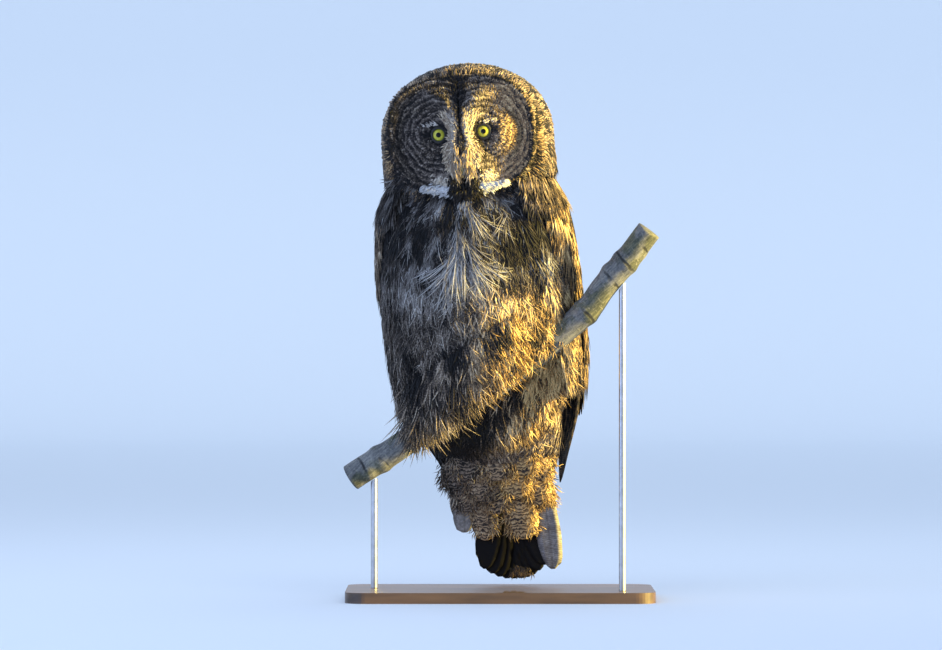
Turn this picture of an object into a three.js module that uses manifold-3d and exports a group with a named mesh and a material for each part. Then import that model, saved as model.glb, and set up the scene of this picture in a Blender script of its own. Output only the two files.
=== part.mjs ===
// Great grey owl on a slanting cut branch, life size, as a museum's still model on a plain display stand.
// Millimetres, +Z up. The origin is the middle of the base's underside. The owl looks along -Y, a little to -X.
import * as THREE from "three";
import { mergeVertices } from "three/addons/utils/BufferGeometryUtils.js";
import Module from "manifold-3d";

const wasm = await Module();
wasm.setup();

// Driving sizes
const GAP = 0.35; // room left between pieces that touch
const OWL_HEIGHT = 697; // crown above the floor
const LEAN = THREE.MathUtils.degToRad(4.5); // the owl's top leans to -X
const YAW = THREE.MathUtils.degToRad(14); // the breast is turned to -X
const HEAD_YAW = THREE.MathUtils.degToRad(7); // the head is turned half as far
const STANCE = new THREE.Vector3(-18, 18, 300); // where the owl's own axis crosses this height

const HEAD_HALF_WIDTH = 110;
const CROWN_RISE = 91;
const JAW_DROP = 81;
const HEAD_CENTRE = new THREE.Vector3(3, -15, OWL_HEIGHT - CROWN_RISE);
const DISC_HALF_WIDTH = 90;
const DISC_HALF_HEIGHT = 71;
const DOME_FRONT = 96;
const FACE_FORWARD = 70;
const FACE_BACKING = 56;
const NAPE_REACH = 96;
const COLLAR_HEIGHT = 508; // the neck ends here
const VENT_HEIGHT = 205; // and the torso here

const EYE_RADIUS = 13;
const EYE_APART = 58.6;
const EYE_OPENING = 9.2;
const EYE_DEPTH = 53;
const LID_THICKNESS = 3;

const BRANCH_RADIUS = 19;
const BRANCH_FORWARD = -20; // the branch's Y under the owl
const BASE = { width: 400, depth: 236, thickness: 14, corner: 26 };
const ROD_RADIUS = 4.5;
const ROD_PLACES = { left: -164, right: 158 };

const FEET = { right: 0.37, left: 0.5 }; // shares of the branch's length
const TOE_RADIUS = 6.5;
const FOOT_ROOM = BRANCH_RADIUS + 2 * TOE_RADIUS + 2;

const COLOURS = {
  plumage: 0x6b6158,
  disc: 0x77706a,
  wing: 0x5b5046,
  tail: 0x4a4038,
  eye: 0xe0c84a,
  horn: 0xc9b774,
  talon: 0x1c1a18,
  bark: 0x7d8072,
  base: 0x3a2a20,
  rod: 0x8a8c8e,
};

// Small helpers
const clamp01 = (x) => Math.min(1, Math.max(0, x));
const mix = (a, b, t) => a + (b - a) * t;
const smooth = (low, high, x) => {
  const t = clamp01((x - low) / (high - low));
  return t * t * (3 - 2 * t);
};
const bump = (x, width) => Math.exp(-(x * x) / (width * width));

// A closed geometry as a manifold-3d solid, its faces turned outwards.
function solid(geometry) {
  const bare = new THREE.BufferGeometry();
  bare.setAttribute("position", geometry.getAttribute("position"));
  bare.setIndex(geometry.index);
  const merged = mergeVertices(bare, 1e-3);
  const corners = merged.index.array;
  const faces = [];
  for (let i = 0; i < corners.length; i += 3) {
    const [a, b, c] = corners.slice(i, i + 3);
    if (a !== b && b !== c && c !== a) faces.push([a, b, c]);
  }
  const build = (list) =>
    new wasm.Manifold(
      new wasm.Mesh({
        numProp: 3,
        vertProperties: new Float32Array(merged.attributes.position.array),
        triVerts: new Uint32Array(list.flat()),
      }),
    );
  const made = build(faces);
  return made.volume() > 0 ? made : build(faces.map(([a, b, c]) => [a, c, b]));
}

function bend(geometry, place) {
  const position = geometry.getAttribute("position");
  const point = new THREE.Vector3();
  for (let i = 0; i < position.count; i += 1) {
    point.fromBufferAttribute(position, i);
    const moved = place(point);
    position.setXYZ(i, moved.x, moved.y, moved.z);
  }
  return geometry;
}

// A rounded form of rings between two poles. place(level 0 to 1, angle) gives each corner.
function ringForm(rings, sides, place) {
  const profile = Array.from(
    { length: rings + 1 },
    (_, i) => new THREE.Vector2(i === 0 || i === rings ? 0 : 1, i / rings),
  );
  const form = new THREE.LatheGeometry(profile, sides);
  return solid(bend(form, (p) => place(p.y, Math.atan2(p.x, p.z))));
}

// A round tube of changing radius along a curve.
function tube(curve, radiusAt, sides, steps) {
  const frames = curve.computeFrenetFrames(steps);
  const form = new THREE.CylinderGeometry(1, 1, 1, sides, steps);
  return solid(
    bend(form, (p) => {
      const t = p.y + 0.5;
      const step = Math.round(t * steps);
      return curve
        .getPointAt(t)
        .addScaledVector(frames.normals[step], p.x * radiusAt(t))
        .addScaledVector(frames.binormals[step], p.z * radiusAt(t));
    }),
  );
}

// A thin closed slab. place(across -1 to 1, along 0 to 1, face 0 or 1) gives each corner.
// Both faces are split alike, so a curved slab doesn't cross itself.
function slab(across, along, place) {
  const plane = new THREE.PlaneGeometry(2, 1, across, along);
  const flat = plane.getAttribute("position");
  const corners = plane.index.array;
  const points = [];
  for (const face of [0, 1])
    for (let i = 0; i < flat.count; i += 1)
      points.push(...place(flat.getX(i), 0.5 - flat.getY(i), face).toArray());
  const edges = new Set();
  const faces = [];
  for (let i = 0; i < corners.length; i += 3) {
    const [a, b, c] = corners.slice(i, i + 3);
    faces.push([a + flat.count, b + flat.count, c + flat.count], [a, c, b]);
    for (const [from, to] of [
      [a, b],
      [b, c],
      [c, a],
    ])
      edges.add(`${from},${to}`);
  }
  for (const edge of edges) {
    const [from, to] = edge.split(",").map(Number);
    if (!edges.has(`${to},${from}`))
      faces.push([to + flat.count, from + flat.count, from], [to + flat.count, from, to]);
  }
  const form = new THREE.BufferGeometry();
  form.setAttribute("position", new THREE.Float32BufferAttribute(points, 3));
  form.setIndex(faces.flat());
  return solid(form);
}

// A feather's vane: thin, rounded at the tip. place(across -1 to 1, along, rise) lays it on a surface.
function vane(thickness, steps, place) {
  return slab(2, steps, (across, along, face) => {
    const t = 1 - (1 - along) ** 1.6;
    const wide = t < 0.7 ? mix(0.62, 1, t / 0.7) : Math.sqrt(1 - 0.9 * ((t - 0.7) / 0.3) ** 2);
    const thick = thickness * (1 - 0.5 * across * across) * mix(1, 0.6, t);
    return place(across * wide, t, face * thick);
  });
}

// A flat, tapered lock of loose plumage. place(across in mm, along, rise) lays it on a surface.
function lock(width, thickness, place) {
  return slab(2, 3, (across, along, face) => {
    const t = 1 - (1 - along) ** 1.4;
    const taper = 1.1 * Math.sqrt(1 - 0.97 * clamp01((t - 0.4) / 0.6) ** 2);
    const wide = (width / 2) * (t < 0.4 ? mix(0.8, 1.1, t / 0.4) : taper);
    const thick = thickness * (1 - 0.6 * across * across) * mix(1, 0.12, t);
    return place(across * wide, t, face * thick);
  });
}

// Seeded draws between 0 and 1, so that each run gives the same model
function drawer(seed) {
  let state = seed;
  return () => {
    state = (state * 16807) % 2147483647;
    return state / 2147483647;
  };
}

const largest = (whole) =>
  whole.decompose().reduce((a, b) => (a.volume() > b.volume() ? a : b));
const joined = (pieces) => pieces.reduce((a, b) => a.add(b));

// A value read from named stations down the body, smoothly between them.
function between(stations, key, z) {
  const last = stations.length - 1;
  const i = Math.max(0, Math.min(last - 1, stations.findIndex((s) => s.z < z) - 1));
  const at = z <= stations[last].z ? last - 1 : i;
  const [a, b] = [stations[at], stations[at + 1]];
  const slope = (k) => {
    const [p, q] = [stations[Math.max(0, k - 1)], stations[Math.min(last, k + 1)]];
    return (q[key] - p[key]) / (q.z - p.z);
  };
  const span = b.z - a.z;
  const t = clamp01((z - a.z) / span);
  return (
    a[key] * (1 + 2 * t) * (1 - t) ** 2 +
    slope(at) * span * t * (1 - t) ** 2 +
    b[key] * t * t * (3 - 2 * t) +
    slope(at + 1) * span * t * t * (t - 1)
  );
}

// Placing: the owl is modelled upright and square to -Y, then turned and leant as it sits.
const owlPlace = new THREE.Matrix4()
  .makeTranslation(STANCE.x, STANCE.y, STANCE.z)
  .multiply(new THREE.Matrix4().makeRotationY(-LEAN))
  .multiply(new THREE.Matrix4().makeRotationZ(-YAW))
  .multiply(new THREE.Matrix4().makeTranslation(0, 0, -STANCE.z));
const owlInverse = owlPlace.clone().invert();
const headPlace = owlPlace
  .clone()
  .multiply(new THREE.Matrix4().makeTranslation(...HEAD_CENTRE.toArray()))
  .multiply(new THREE.Matrix4().makeRotationZ(HEAD_YAW));
const inWorld = (form, matrix = owlPlace) => form.transform(matrix.toArray());

// The branch: a gently rising stem with a bend, coming forward to +X
const BRANCH_LINE = new THREE.CatmullRomCurve3(
  [
    [-194, 158],
    [-130, 199],
    [-91, 226],
    [-12, 277],
    [56, 327],
    [110, 374],
    [134, 405],
    [171, 451],
    [192, 479],
  ].map(([x, z]) => new THREE.Vector3(x, BRANCH_FORWARD - Math.tan(YAW) * (x - STANCE.x), z)),
);
const KNOTS = [0.09, 0.31, 0.74, 0.9];
const branchRadius = (t) =>
  BRANCH_RADIUS -
  1.4 * t +
  KNOTS.reduce((sum, knot) => sum + 1.5 * bump(t - knot, 0.018), 0);
const branchForm = (grow) =>
  tube(BRANCH_LINE, (t) => branchRadius(t) + grow, 12, 24);

// The branch's centre height under a given x, in the owl's own frame
const branchInOwl = BRANCH_LINE.getSpacedPoints(40).map((p) =>
  p.clone().applyMatrix4(owlInverse),
);
function branchHeight(x) {
  const after = branchInOwl.findIndex((p) => p.x > x);
  if (after < 1) return after === 0 ? branchInOwl[0].z : branchInOwl.at(-1).z;
  const [a, b] = [branchInOwl[after - 1], branchInOwl[after]];
  return mix(a.z, b.z, (x - a.x) / (b.x - a.x));
}

// Neck and torso as one form, in stations from the nape down to the vent
const BODY = [
  { z: 576, side: 92, front: 50, back: 66, x: 0, y: -10 },
  { z: 545, side: 106, front: 61, back: 78, x: 0, y: -12 },
  { z: 500, side: 119, front: 82, back: 88, x: 0, y: -10 },
  { z: 440, side: 126, front: 97, back: 91, x: 0, y: -6 },
  { z: 360, side: 126, front: 99, back: 86, x: 0, y: 0 },
  { z: 290, side: 121, front: 92, back: 77, x: -4, y: 7 },
  { z: 245, side: 112, front: 74, back: 66, x: -14, y: 20 },
  { z: 205, side: 92, front: 52, back: 49, x: -5, y: 36 },
  { z: 175, side: 80, front: 35, back: 35, x: -3, y: 46 },
  { z: 145, side: 62, front: 18, back: 18, x: -5, y: 59 },
  { z: 126, side: 36, front: 7, back: 7, x: -5, y: 66 },
];
const BODY_TOP = BODY[0].z + 8;
const BODY_END = BODY.at(-1).z - 6;
const SQUARENESS = 2.25;

// A point on the skin through the stations. Angle 0 is the front, and a quarter turn is the owl's left.
function skinPoint(stations, z, angle, grow) {
  const [s, c] = [Math.sin(angle), Math.cos(angle)];
  const power = 2 / SQUARENESS;
  const side = between(stations, "side", z) + grow;
  const depth = between(stations, c > 0 ? "front" : "back", z) + grow;
  const x = between(stations, "x", z) + side * Math.sign(s) * Math.abs(s) ** power;
  const y = between(stations, "y", z) - depth * Math.sign(c) * Math.abs(c) ** power;
  return new THREE.Vector3(x, y, z);
}

function bodyForm(grow) {
  return ringForm(16, 26, (level, angle) => {
    const z = mix(BODY_END, BODY_TOP, level);
    if (level < 1e-6) return new THREE.Vector3(0, BODY.at(-1).y, BODY_END - grow);
    if (level > 1 - 1e-6) return new THREE.Vector3(0, BODY[0].y, BODY_TOP + grow);
    return skinPoint(BODY, z, angle, grow);
  });
}

// Room in front of the body, under the branch's centre line
function roomUnderBranch() {
  const points = branchInOwl.map((p) => new THREE.Vector2(p.x, p.z));
  const outline = new THREE.Shape([...points, new THREE.Vector2(220, 0), new THREE.Vector2(-220, 0)]);
  const form = new THREE.ExtrudeGeometry(outline, { depth: 200, bevelEnabled: false });
  form.rotateX(Math.PI / 2);
  const behindBranch = branchInOwl[20].y + BRANCH_RADIUS + 1;
  form.translate(0, behindBranch, 0);
  return solid(form);
}

// The head: a dome, and the face set on its front. Its own frame looks along -Y.
function oval(angle, width, height, power) {
  const [c, s] = [Math.abs(Math.cos(angle)), Math.abs(Math.sin(angle))];
  return ((c / width) ** power + (s / height) ** power) ** (-1 / power);
}
const domeReach = (angle) =>
  Math.sin(angle) > 0
    ? oval(angle, HEAD_HALF_WIDTH, CROWN_RISE, 2.05)
    : oval(angle, HEAD_HALF_WIDTH, JAW_DROP, 5);

function domeForm(grow) {
  return ringForm(12, 28, (level, angle) => {
    const turn = level * Math.PI;
    const depth = Math.cos(turn) > 0 ? DOME_FRONT : NAPE_REACH;
    const reach = (domeReach(angle) + grow) * Math.sin(turn) ** 0.86;
    return new THREE.Vector3(
      reach * Math.cos(angle),
      -(depth + grow) * Math.cos(turn),
      reach * Math.sin(angle),
    );
  });
}

// How far the face stands forward at a place on it. Share is 0 in the middle and 1 at the rim.
function faceForward(x, z, share) {
  const ax = Math.abs(x);
  const crescent = 12 + 0.0062 * (z + 2) ** 2;
  const brow = 8 * bump(ax - crescent, 13) * smooth(-60, -30, z) * (1 - smooth(38, 58, z));
  const ridge = 5 * bump(ax, 8) * smooth(-50, -20, z) * (1 - smooth(10, 40, z));
  const chin = 7 * bump(ax - 12, 16) * bump(z + 50, 14);
  const dish = 8 * bump(Math.hypot(ax - 46, z + 2) - 24, 20);
  const rim = 5 * bump(share - 0.97, 0.09);
  return mix(FACE_FORWARD, FACE_FORWARD - 9, share ** 3) + brow + ridge + chin + rim - dish;
}

function faceForm(grow) {
  return slab(18, 13, (u, v, face) => {
    const w = 1 - 2 * v;
    const square = Math.max(Math.abs(u), Math.abs(w));
    const angle = Math.atan2(w, u);
    const share = mix(Math.hypot(u * Math.sqrt(1 - w * w / 2), w * Math.sqrt(1 - u * u / 2)), square, 0.2);
    const round = Math.hypot(u, w) || 1;
    const reach = share * (oval(angle, DISC_HALF_WIDTH, DISC_HALF_HEIGHT, 2.8) + grow);
    const [x, z] = [(reach * u) / round, (reach * w) / round];
    const forward = face === 1 ? faceForward(x, z, share) + grow : 34 - grow;
    return new THREE.Vector3(x, -forward, z);
  });
}

// The dome is cut flat behind the face.
function headForm(grow) {
  const [, back] = domeForm(grow).splitByPlane([0, -1, 0], FACE_BACKING + grow);
  return back.add(faceForm(grow));
}

// Eyes, lids and bill, in the head's frame
const eyeCentre = (side) =>
  new THREE.Vector3((side * EYE_APART) / 2, -EYE_DEPTH, 1);

function ball(radius, centre, across = 12, up = 8) {
  const form = new THREE.SphereGeometry(radius, across, up);
  form.rotateX(Math.PI / 2);
  form.translate(centre.x, centre.y, centre.z);
  return solid(form);
}

// The way that the lids leave open in front of the eye
function lidOpening(side) {
  const form = new THREE.CylinderGeometry(EYE_OPENING, EYE_OPENING * 0.8, 40, 16);
  form.rotateX(Math.PI);
  const centre = eyeCentre(side);
  form.translate(centre.x, centre.y - 26, centre.z);
  return solid(form);
}

function billTube(points, widest, narrowest) {
  const line = new THREE.CatmullRomCurve3(points.map((p) => new THREE.Vector3(0, -p[0], p[1])));
  return tube(line, (t) => mix(widest, narrowest, t ** 1.6), 10, 7);
}

function billUpper() {
  const whole = billTube([[59, -20], [75, -25], [85, -34], [88, -46], [84, -58]], 9, 0.9);
  const nostril = (side) => ball(1.8, new THREE.Vector3(side * 6.4, -79.5, -26), 6, 4);
  return whole.subtract(nostril(-1)).subtract(nostril(1));
}

const billLower = () => billTube([[57, -38], [71, -41], [78, -45], [82, -52]], 6, 1.2);

// The folded wings lie on a surface that follows the body and, lower down, hangs outside it.
// Turn 0 is the side, and it grows towards the back.
const CARRIER = [
  { z: 532, side: 113, front: 76, back: 83, x: 0, y: -11 },
  { z: 500, side: 120, front: 85, back: 89, x: 0, y: -10 },
  { z: 440, side: 127, front: 98, back: 92, x: 0, y: -6 },
  { z: 360, side: 128, front: 100, back: 88, x: 0, y: 0 },
  { z: 290, side: 125, front: 93, back: 81, x: 0, y: 8 },
  { z: 230, side: 115, front: 70, back: 70, x: 0, y: 25 },
  { z: 180, side: 96, front: 56, back: 56, x: 0, y: 42 },
  { z: 136, side: 80, front: 40, back: 40, x: 0, y: 58 },
];
const WING_TOP = 528;
const PAD_END = 300;
const LEADING = [
  { z: 528, turn: -0.62 },
  { z: 500, turn: -0.5 },
  { z: 463, turn: -0.42 },
  { z: 422, turn: -0.27 },
  { z: 395, turn: -0.12 },
  { z: 300, turn: 0 },
  { z: 220, turn: 0.12 },
  { z: 143, turn: 0.3 },
];
const TRAILING = [
  { z: 528, turn: 1.12 },
  { z: 440, turn: 1.4 },
  { z: 340, turn: 1.48 },
  { z: 280, turn: 1.42 },
  { z: 220, turn: 1.15 },
  { z: 143, turn: 0.8 },
];
const WING_TIERS = [
  { count: 5, steps: 2, root: 518, tip: 450, half: 26, lift: [3, 7.5], last: 8 },
  { count: 5, steps: 2, root: 474, tip: 392, half: 28, lift: [2.5, 6.5], last: 10 },
  { count: 5, steps: 2, root: 424, tip: 326, half: 28, lift: [2, 5.5], last: 14 },
  { count: 6, steps: 3, root: 362, tip: 258, half: 23, lift: [1, 4.5], last: -42 },
];
const PRIMARY_TIPS = [196, 168, 150, 143, 152, 176];
const PRIMARY_STEP = 1.5;

const wingPoint = (side, turn, z, lift) => skinPoint(CARRIER, z, side * (Math.PI / 2 + turn), lift);
const wingTurn = (z, share) => mix(between(LEADING, "turn", z), between(TRAILING, "turn", z), share);

// The wing's flesh and small coverts, which the vanes grow from
function wingPad(side) {
  return slab(6, 7, (across, along, face) => {
    const z = mix(WING_TOP, PAD_END, along);
    const turn = wingTurn(z, (across + 1) / 2);
    const full = (1 - across ** 6) * Math.min(1, 8 * along + 0.2);
    return wingPoint(side, turn, z, face === 0 ? -6 : 1 + mix(4.5, 1.5, along) * full);
  });
}

// One vane down the wing at a share of its width. lift is how far it stands off the carrier, along its length.
function wingVane(side, share, { root, tip, half, steps }, thickness, lift, tilt) {
  return vane(thickness, steps, (across, along, rise) => {
    const z = mix(root, tip, along);
    const turn = wingTurn(z, share) + (across * half) / between(CARRIER, "side", z);
    return wingPoint(side, turn, z, lift(along) + tilt * across + rise);
  });
}

function wingForm(side) {
  const pieces = [wingPad(side)];
  for (const { count, steps, root, tip, half, lift, last } of WING_TIERS)
    for (let i = 0; i < count; i += 1) {
      const share = (i + 0.5) / count;
      const size = { root, tip: tip + last * share, half: half * mix(1, 0.85, share), steps };
      pieces.push(wingVane(side, share, size, 1.7, (t) => mix(...lift, t), 1.2));
    }
  PRIMARY_TIPS.forEach((tip, i) => {
    const depth = PRIMARY_STEP * (PRIMARY_TIPS.length - 1 - i);
    const lift = (t) => 2 - (depth + 1.5) * smooth(0, 0.5, t);
    pieces.push(wingVane(side, 0.1 + 0.13 * i, { root: 336, tip, half: 13, steps: 3 }, 1.1, lift, 0));
  });
  return joined(pieces);
}

// The tail: twelve rectrices, the middle pair behind and each further one nearer to the front, and coverts
const TAIL_TIP = 24;
const RECTRICES = 6; // a side
const tailY = (z) => mix(84, 68, smooth(20, 190, z));

function rectrix(side, k) {
  const tip = TAIL_TIP + 0.7 * k * k;
  return vane(1.4, 3, (across, along, rise) => {
    const z = mix(160, tip, along);
    const x = side * mix(3 + 3.5 * k, 5 + 9.6 * k, along) + across * mix(7, 13, along);
    return new THREE.Vector3(x, tailY(z) - 3 * (k + (side + 1) / 4) - rise, z);
  });
}

// Coverts over the root of the tail, in tiers from the vent down. off is how far a tip stands from the tail.
const UNDERTAIL = [
  { count: 4, spread: 60, root: 198, tip: 142, half: 25, from: 66, off: 40 },
  { count: 5, spread: 66, root: 172, tip: 110, half: 21, from: 42, off: 31 },
  { count: 4, spread: 52, root: 148, tip: 80, half: 19, from: 24, off: 22 },
];
const UPPERTAIL = [
  { count: 3, spread: 40, root: 178, tip: 126, half: 22, from: 6, off: 6 },
  { count: 2, spread: 16, root: 158, tip: 98, half: 20, from: 1, off: 3 },
];

function tailCoverts(tiers, facing) {
  return tiers.flatMap(({ count, spread, root, tip, half, from, off }) =>
    Array.from({ length: count }, (_, i) => {
      const share = (2 * i) / (count - 1) - 1;
      return vane(2, 3, (across, along, rise) => {
        const z = mix(root, tip + 14 * share * share, along);
        const x = share * spread * mix(0.9, 1, along) + across * half;
        const stand = mix(from, off, along) + 3 * (i % 2) + rise - 5 * across * across - 9 * share * share;
        return new THREE.Vector3(x - 3, tailY(z) + facing * stand, z);
      });
    }),
  );
}

const tailFeathers = () => [
  ...[-1, 1].flatMap((side) => Array.from({ length: RECTRICES }, (_, k) => rectrix(side, k))),
  ...tailCoverts(UNDERTAIL, -1),
  ...tailCoverts(UPPERTAIL, 1),
];

// Loose belly and flank plumes: flat locks that hang in front of the branch and down the sides
const PLUME_ROWS = [
  { count: 8, from: -85, to: 62, above: 46, hem: -26 },
  { count: 7, from: -80, to: 50, above: 70, hem: -2 },
];
const PLUME_STEP = 5.4; // one plume lies this far before the next

// How far forward the body's skin is at a place seen from the front
function skinFront(x, z) {
  const share = Math.min(0.98, Math.abs(x - between(BODY, "x", z)) / between(BODY, "side", z));
  return between(BODY, "y", z) - between(BODY, "front", z) * (1 - share ** SQUARENESS) ** (1 / SQUARENESS);
}

// Each plume leaves the skin above the branch and hangs clear of the branch and of the feet on it.
function bellyPlume(x, above, hem, layer, sway) {
  const room = mix(FOOT_ROOM + 1, BRANCH_RADIUS + 3, smooth(52, 70, Math.abs(x)));
  const inner = branchInOwl[20].y - room - layer * PLUME_STEP;
  const top = branchHeight(x) + above;
  return lock(39, 5, (across, along, rise) => {
    const z = top + mix(0, hem - above, along);
    const skin = skinFront(x + across, z);
    const y = mix(skin + 5, Math.min(inner, skin - 2 - layer), smooth(0, 0.35, along)) - rise;
    return new THREE.Vector3(x + across + sway * along * along, y, z);
  });
}

// Plumes down the body's side. turn is as on the wing.
const FLANK = [
  { side: -1, turn: -0.42, root: 330, tip: 236 },
  { side: -1, turn: -0.25, root: 345, tip: 252 },
  { side: -1, turn: -0.34, root: 300, tip: 218 },
  { side: 1, turn: -0.42, root: 350, tip: 266 },
  { side: 1, turn: -0.28, root: 356, tip: 280 },
  { side: 1, turn: -0.6, root: 322, tip: 236 },
];

function flankPlume({ side, turn, root, tip }) {
  return lock(28, 7, (across, along, rise) => {
    const z = mix(root, tip, along);
    const drop = mix(root, tip, along * 0.45);
    const at = skinPoint(BODY, drop, side * (Math.PI / 2 + turn + across / 120), 5 * along - 4 + rise);
    return new THREE.Vector3(at.x, at.y + 10 * along, z);
  });
}

function bellyPlumes() {
  const draw = drawer(7);
  return PLUME_ROWS.flatMap(({ count, from, to, above, hem }, row) =>
    Array.from({ length: count }, (_, i) => {
      const x = mix(from, to, i / (count - 1));
      return bellyPlume(x, above + 8 * draw(), hem - 6 * draw(), 2 * row + (i % 2), 14 * (draw() - 0.4));
    }),
  );
}

// Legs and feet, placed on the branch
const TOES = [
  { turn: 1, shift: -10, reach: 1.55 },
  { turn: 1, shift: 9, reach: 1.6 },
  { turn: -1, shift: -12, reach: 1.45 },
  { turn: -1, shift: 8, reach: 1.4 },
];

function footFrame(t) {
  const centre = BRANCH_LINE.getPointAt(t);
  const along = BRANCH_LINE.getTangentAt(t);
  const back = new THREE.Vector3(Math.sin(YAW), Math.cos(YAW), 0);
  const up = new THREE.Vector3().crossVectors(along, back).negate();
  if (up.z < 0) up.negate();
  const front = new THREE.Vector3().crossVectors(along, up).normalize();
  if (front.y > 0) front.negate();
  return { centre, along, up: up.normalize(), front };
}

// A curve round the branch, from one turn from the top to another
function aroundBranch(frame, radius, shift, spread, from, to) {
  const points = Array.from({ length: 7 }, (_, i) => {
    const t = i / 6;
    const turn = mix(from, to, t);
    return frame.centre
      .clone()
      .addScaledVector(frame.along, shift * (1 + spread * t))
      .addScaledVector(frame.up, radius * Math.cos(turn))
      .addScaledVector(frame.front, radius * Math.sin(turn));
  });
  return new THREE.CatmullRomCurve3(points);
}

function footForm(frame, grow) {
  const grip = BRANCH_RADIUS + GAP + TOE_RADIUS;
  const toes = TOES.map(({ turn, shift, reach }) => {
    const line = aroundBranch(frame, grip, shift, 0.7, -0.15 * turn, reach * turn);
    return tube(line, (s) => TOE_RADIUS * mix(1, 0.72, s) + grow, 6, 4);
  });
  const pad = ringForm(5, 8, (level, angle) => {
    const [c, s] = [Math.cos(level * Math.PI), Math.sin(level * Math.PI)];
    return frame.centre
      .clone()
      .addScaledVector(frame.up, BRANCH_RADIUS + 7 + (7 + grow) * c)
      .addScaledVector(frame.along, (17 + grow) * s * Math.sin(angle))
      .addScaledVector(frame.front, (13 + grow) * s * Math.cos(angle));
  });
  return joined([pad, ...toes]);
}

function talonForms(frame) {
  const grip = BRANCH_RADIUS + GAP + TOE_RADIUS;
  return TOES.map(({ turn, shift, reach }) => {
    const from = (reach + 0.02) * turn;
    const line = aroundBranch(frame, grip - 1.2, shift * 1.7, 0.1, from, from + 0.93 * turn);
    return tube(line, (s) => mix(3.4, 0.5, s ** 0.8), 6, 4);
  });
}

function legSolid(frame, grow) {
  const foot = frame.centre.clone().addScaledVector(frame.up, BRANCH_RADIUS + 14.4 - grow);
  const hip = foot.clone().add(new THREE.Vector3(4, 24, 62 + grow));
  const line = new THREE.CatmullRomCurve3([foot, foot.clone().lerp(hip, 0.5), hip]);
  return tube(line, (t) => mix(12, 22, t) + grow, 10, 3);
}

// The stand
function standBase() {
  const { width, depth, thickness, corner } = BASE;
  const [w, d] = [width / 2 - corner, depth / 2 - corner];
  const outline = new THREE.Shape();
  outline.absarc(w, d, corner, 0, Math.PI / 2);
  outline.absarc(-w, d, corner, Math.PI / 2, Math.PI);
  outline.absarc(-w, -d, corner, Math.PI, Math.PI * 1.5);
  outline.absarc(w, -d, corner, Math.PI * 1.5, Math.PI * 2);
  outline.closePath();
  return solid(new THREE.ExtrudeGeometry(outline, { depth: thickness, bevelEnabled: false, curveSegments: 5 }));
}

function standRod(x) {
  const steps = BRANCH_LINE.getSpacedPoints(300);
  const top = steps.reduce((a, b) => (Math.abs(b.x - x) < Math.abs(a.x - x) ? b : a));
  const height = top.z - BASE.thickness - GAP;
  const form = new THREE.CylinderGeometry(ROD_RADIUS, ROD_RADIUS, height, 16);
  form.rotateX(Math.PI / 2);
  form.translate(top.x, top.y, BASE.thickness + GAP + height / 2);
  return largest(solid(form).subtract(branchForm(GAP)));
}

// Putting the nodes together
const owl = new THREE.Group();

function addNode(name, form, colour, roughness = 0.9, metalness = 0) {
  const mesh = form.getMesh();
  const geometry = new THREE.BufferGeometry();
  const count = mesh.numVert;
  const points = new Float32Array(count * 3);
  for (let i = 0; i < count; i += 1)
    points.set(mesh.vertProperties.subarray(i * mesh.numProp, i * mesh.numProp + 3), i * 3);
  geometry.setAttribute("position", new THREE.BufferAttribute(points, 3));
  geometry.setIndex(new THREE.BufferAttribute(mesh.triVerts, 1));
  geometry.computeVertexNormals();
  const finish = new THREE.MeshStandardMaterial({ color: colour, roughness, metalness });
  const node = new THREE.Mesh(geometry, finish);
  node.name = name;
  owl.add(node);
}

const branch = branchForm(0);
const branchRoom = branchForm(GAP);
const headRoom = inWorld(headForm(GAP), headPlace);
const bodyWhole = inWorld(bodyForm(0));
const bodyRoom = inWorld(bodyForm(GAP));

const feet = Object.entries(FEET).map(([name, t]) => ({ name, frame: footFrame(t) }));
const footRoom = feet.map(({ frame }) => {
  const [from, to] = [-27, 27].map((shift) => frame.centre.clone().addScaledVector(frame.along, shift));
  return tube(new THREE.LineCurve3(from, to), () => FOOT_ROOM, 14, 1);
});

const UP = [0, 0, 1];
const [neckPart] = bodyWhole.splitByPlane(UP, COLLAR_HEIGHT + GAP);
const [torsoPart] = bodyWhole.splitByPlane(UP, COLLAR_HEIGHT)[1].splitByPlane(UP, VENT_HEIGHT);
const rumpPart = bodyWhole.splitByPlane(UP, VENT_HEIGHT - GAP)[1];
addNode("neck", largest(neckPart.subtract(headRoom)), COLOURS.plumage);

const underBranch = inWorld(roomUnderBranch());
const torsoRooms = [
  branchRoom,
  headRoom,
  ...footRoom,
  ...feet.map(({ frame }) => legSolid(frame, GAP)),
];
const plumes = [...bellyPlumes(), ...FLANK.map(flankPlume)];
const torso = joined([torsoPart.subtract(underBranch), ...plumes.map((plume) => inWorld(plume))]);
addNode("torso", largest(torsoRooms.reduce((a, b) => a.subtract(b), torso)), COLOURS.plumage);

let head = inWorld(headForm(0), headPlace);
for (const side of [-1, 1]) {
  head = head.add(inWorld(ball(EYE_RADIUS + LID_THICKNESS, eyeCentre(side)), headPlace));
  head = head.subtract(inWorld(ball(EYE_RADIUS + GAP, eyeCentre(side)), headPlace));
  head = head.subtract(inWorld(lidOpening(side), headPlace));
}
addNode("head", largest(head), COLOURS.disc);
addNode("eye_right", inWorld(ball(EYE_RADIUS, eyeCentre(-1)), headPlace), COLOURS.eye, 0.1);
addNode("eye_left", inWorld(ball(EYE_RADIUS, eyeCentre(1)), headPlace), COLOURS.eye, 0.1);
addNode("bill_upper", largest(inWorld(billUpper(), headPlace).subtract(headRoom)), COLOURS.horn, 0.4);
addNode("bill_lower", largest(inWorld(billLower(), headPlace).subtract(headRoom)), COLOURS.horn, 0.4);

for (const [name, side] of [["right", -1], ["left", 1]]) {
  const wing = inWorld(wingForm(side)).subtract(bodyRoom).subtract(branchRoom);
  addNode(`wing_${name}`, largest(wing), COLOURS.wing);
}

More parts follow.
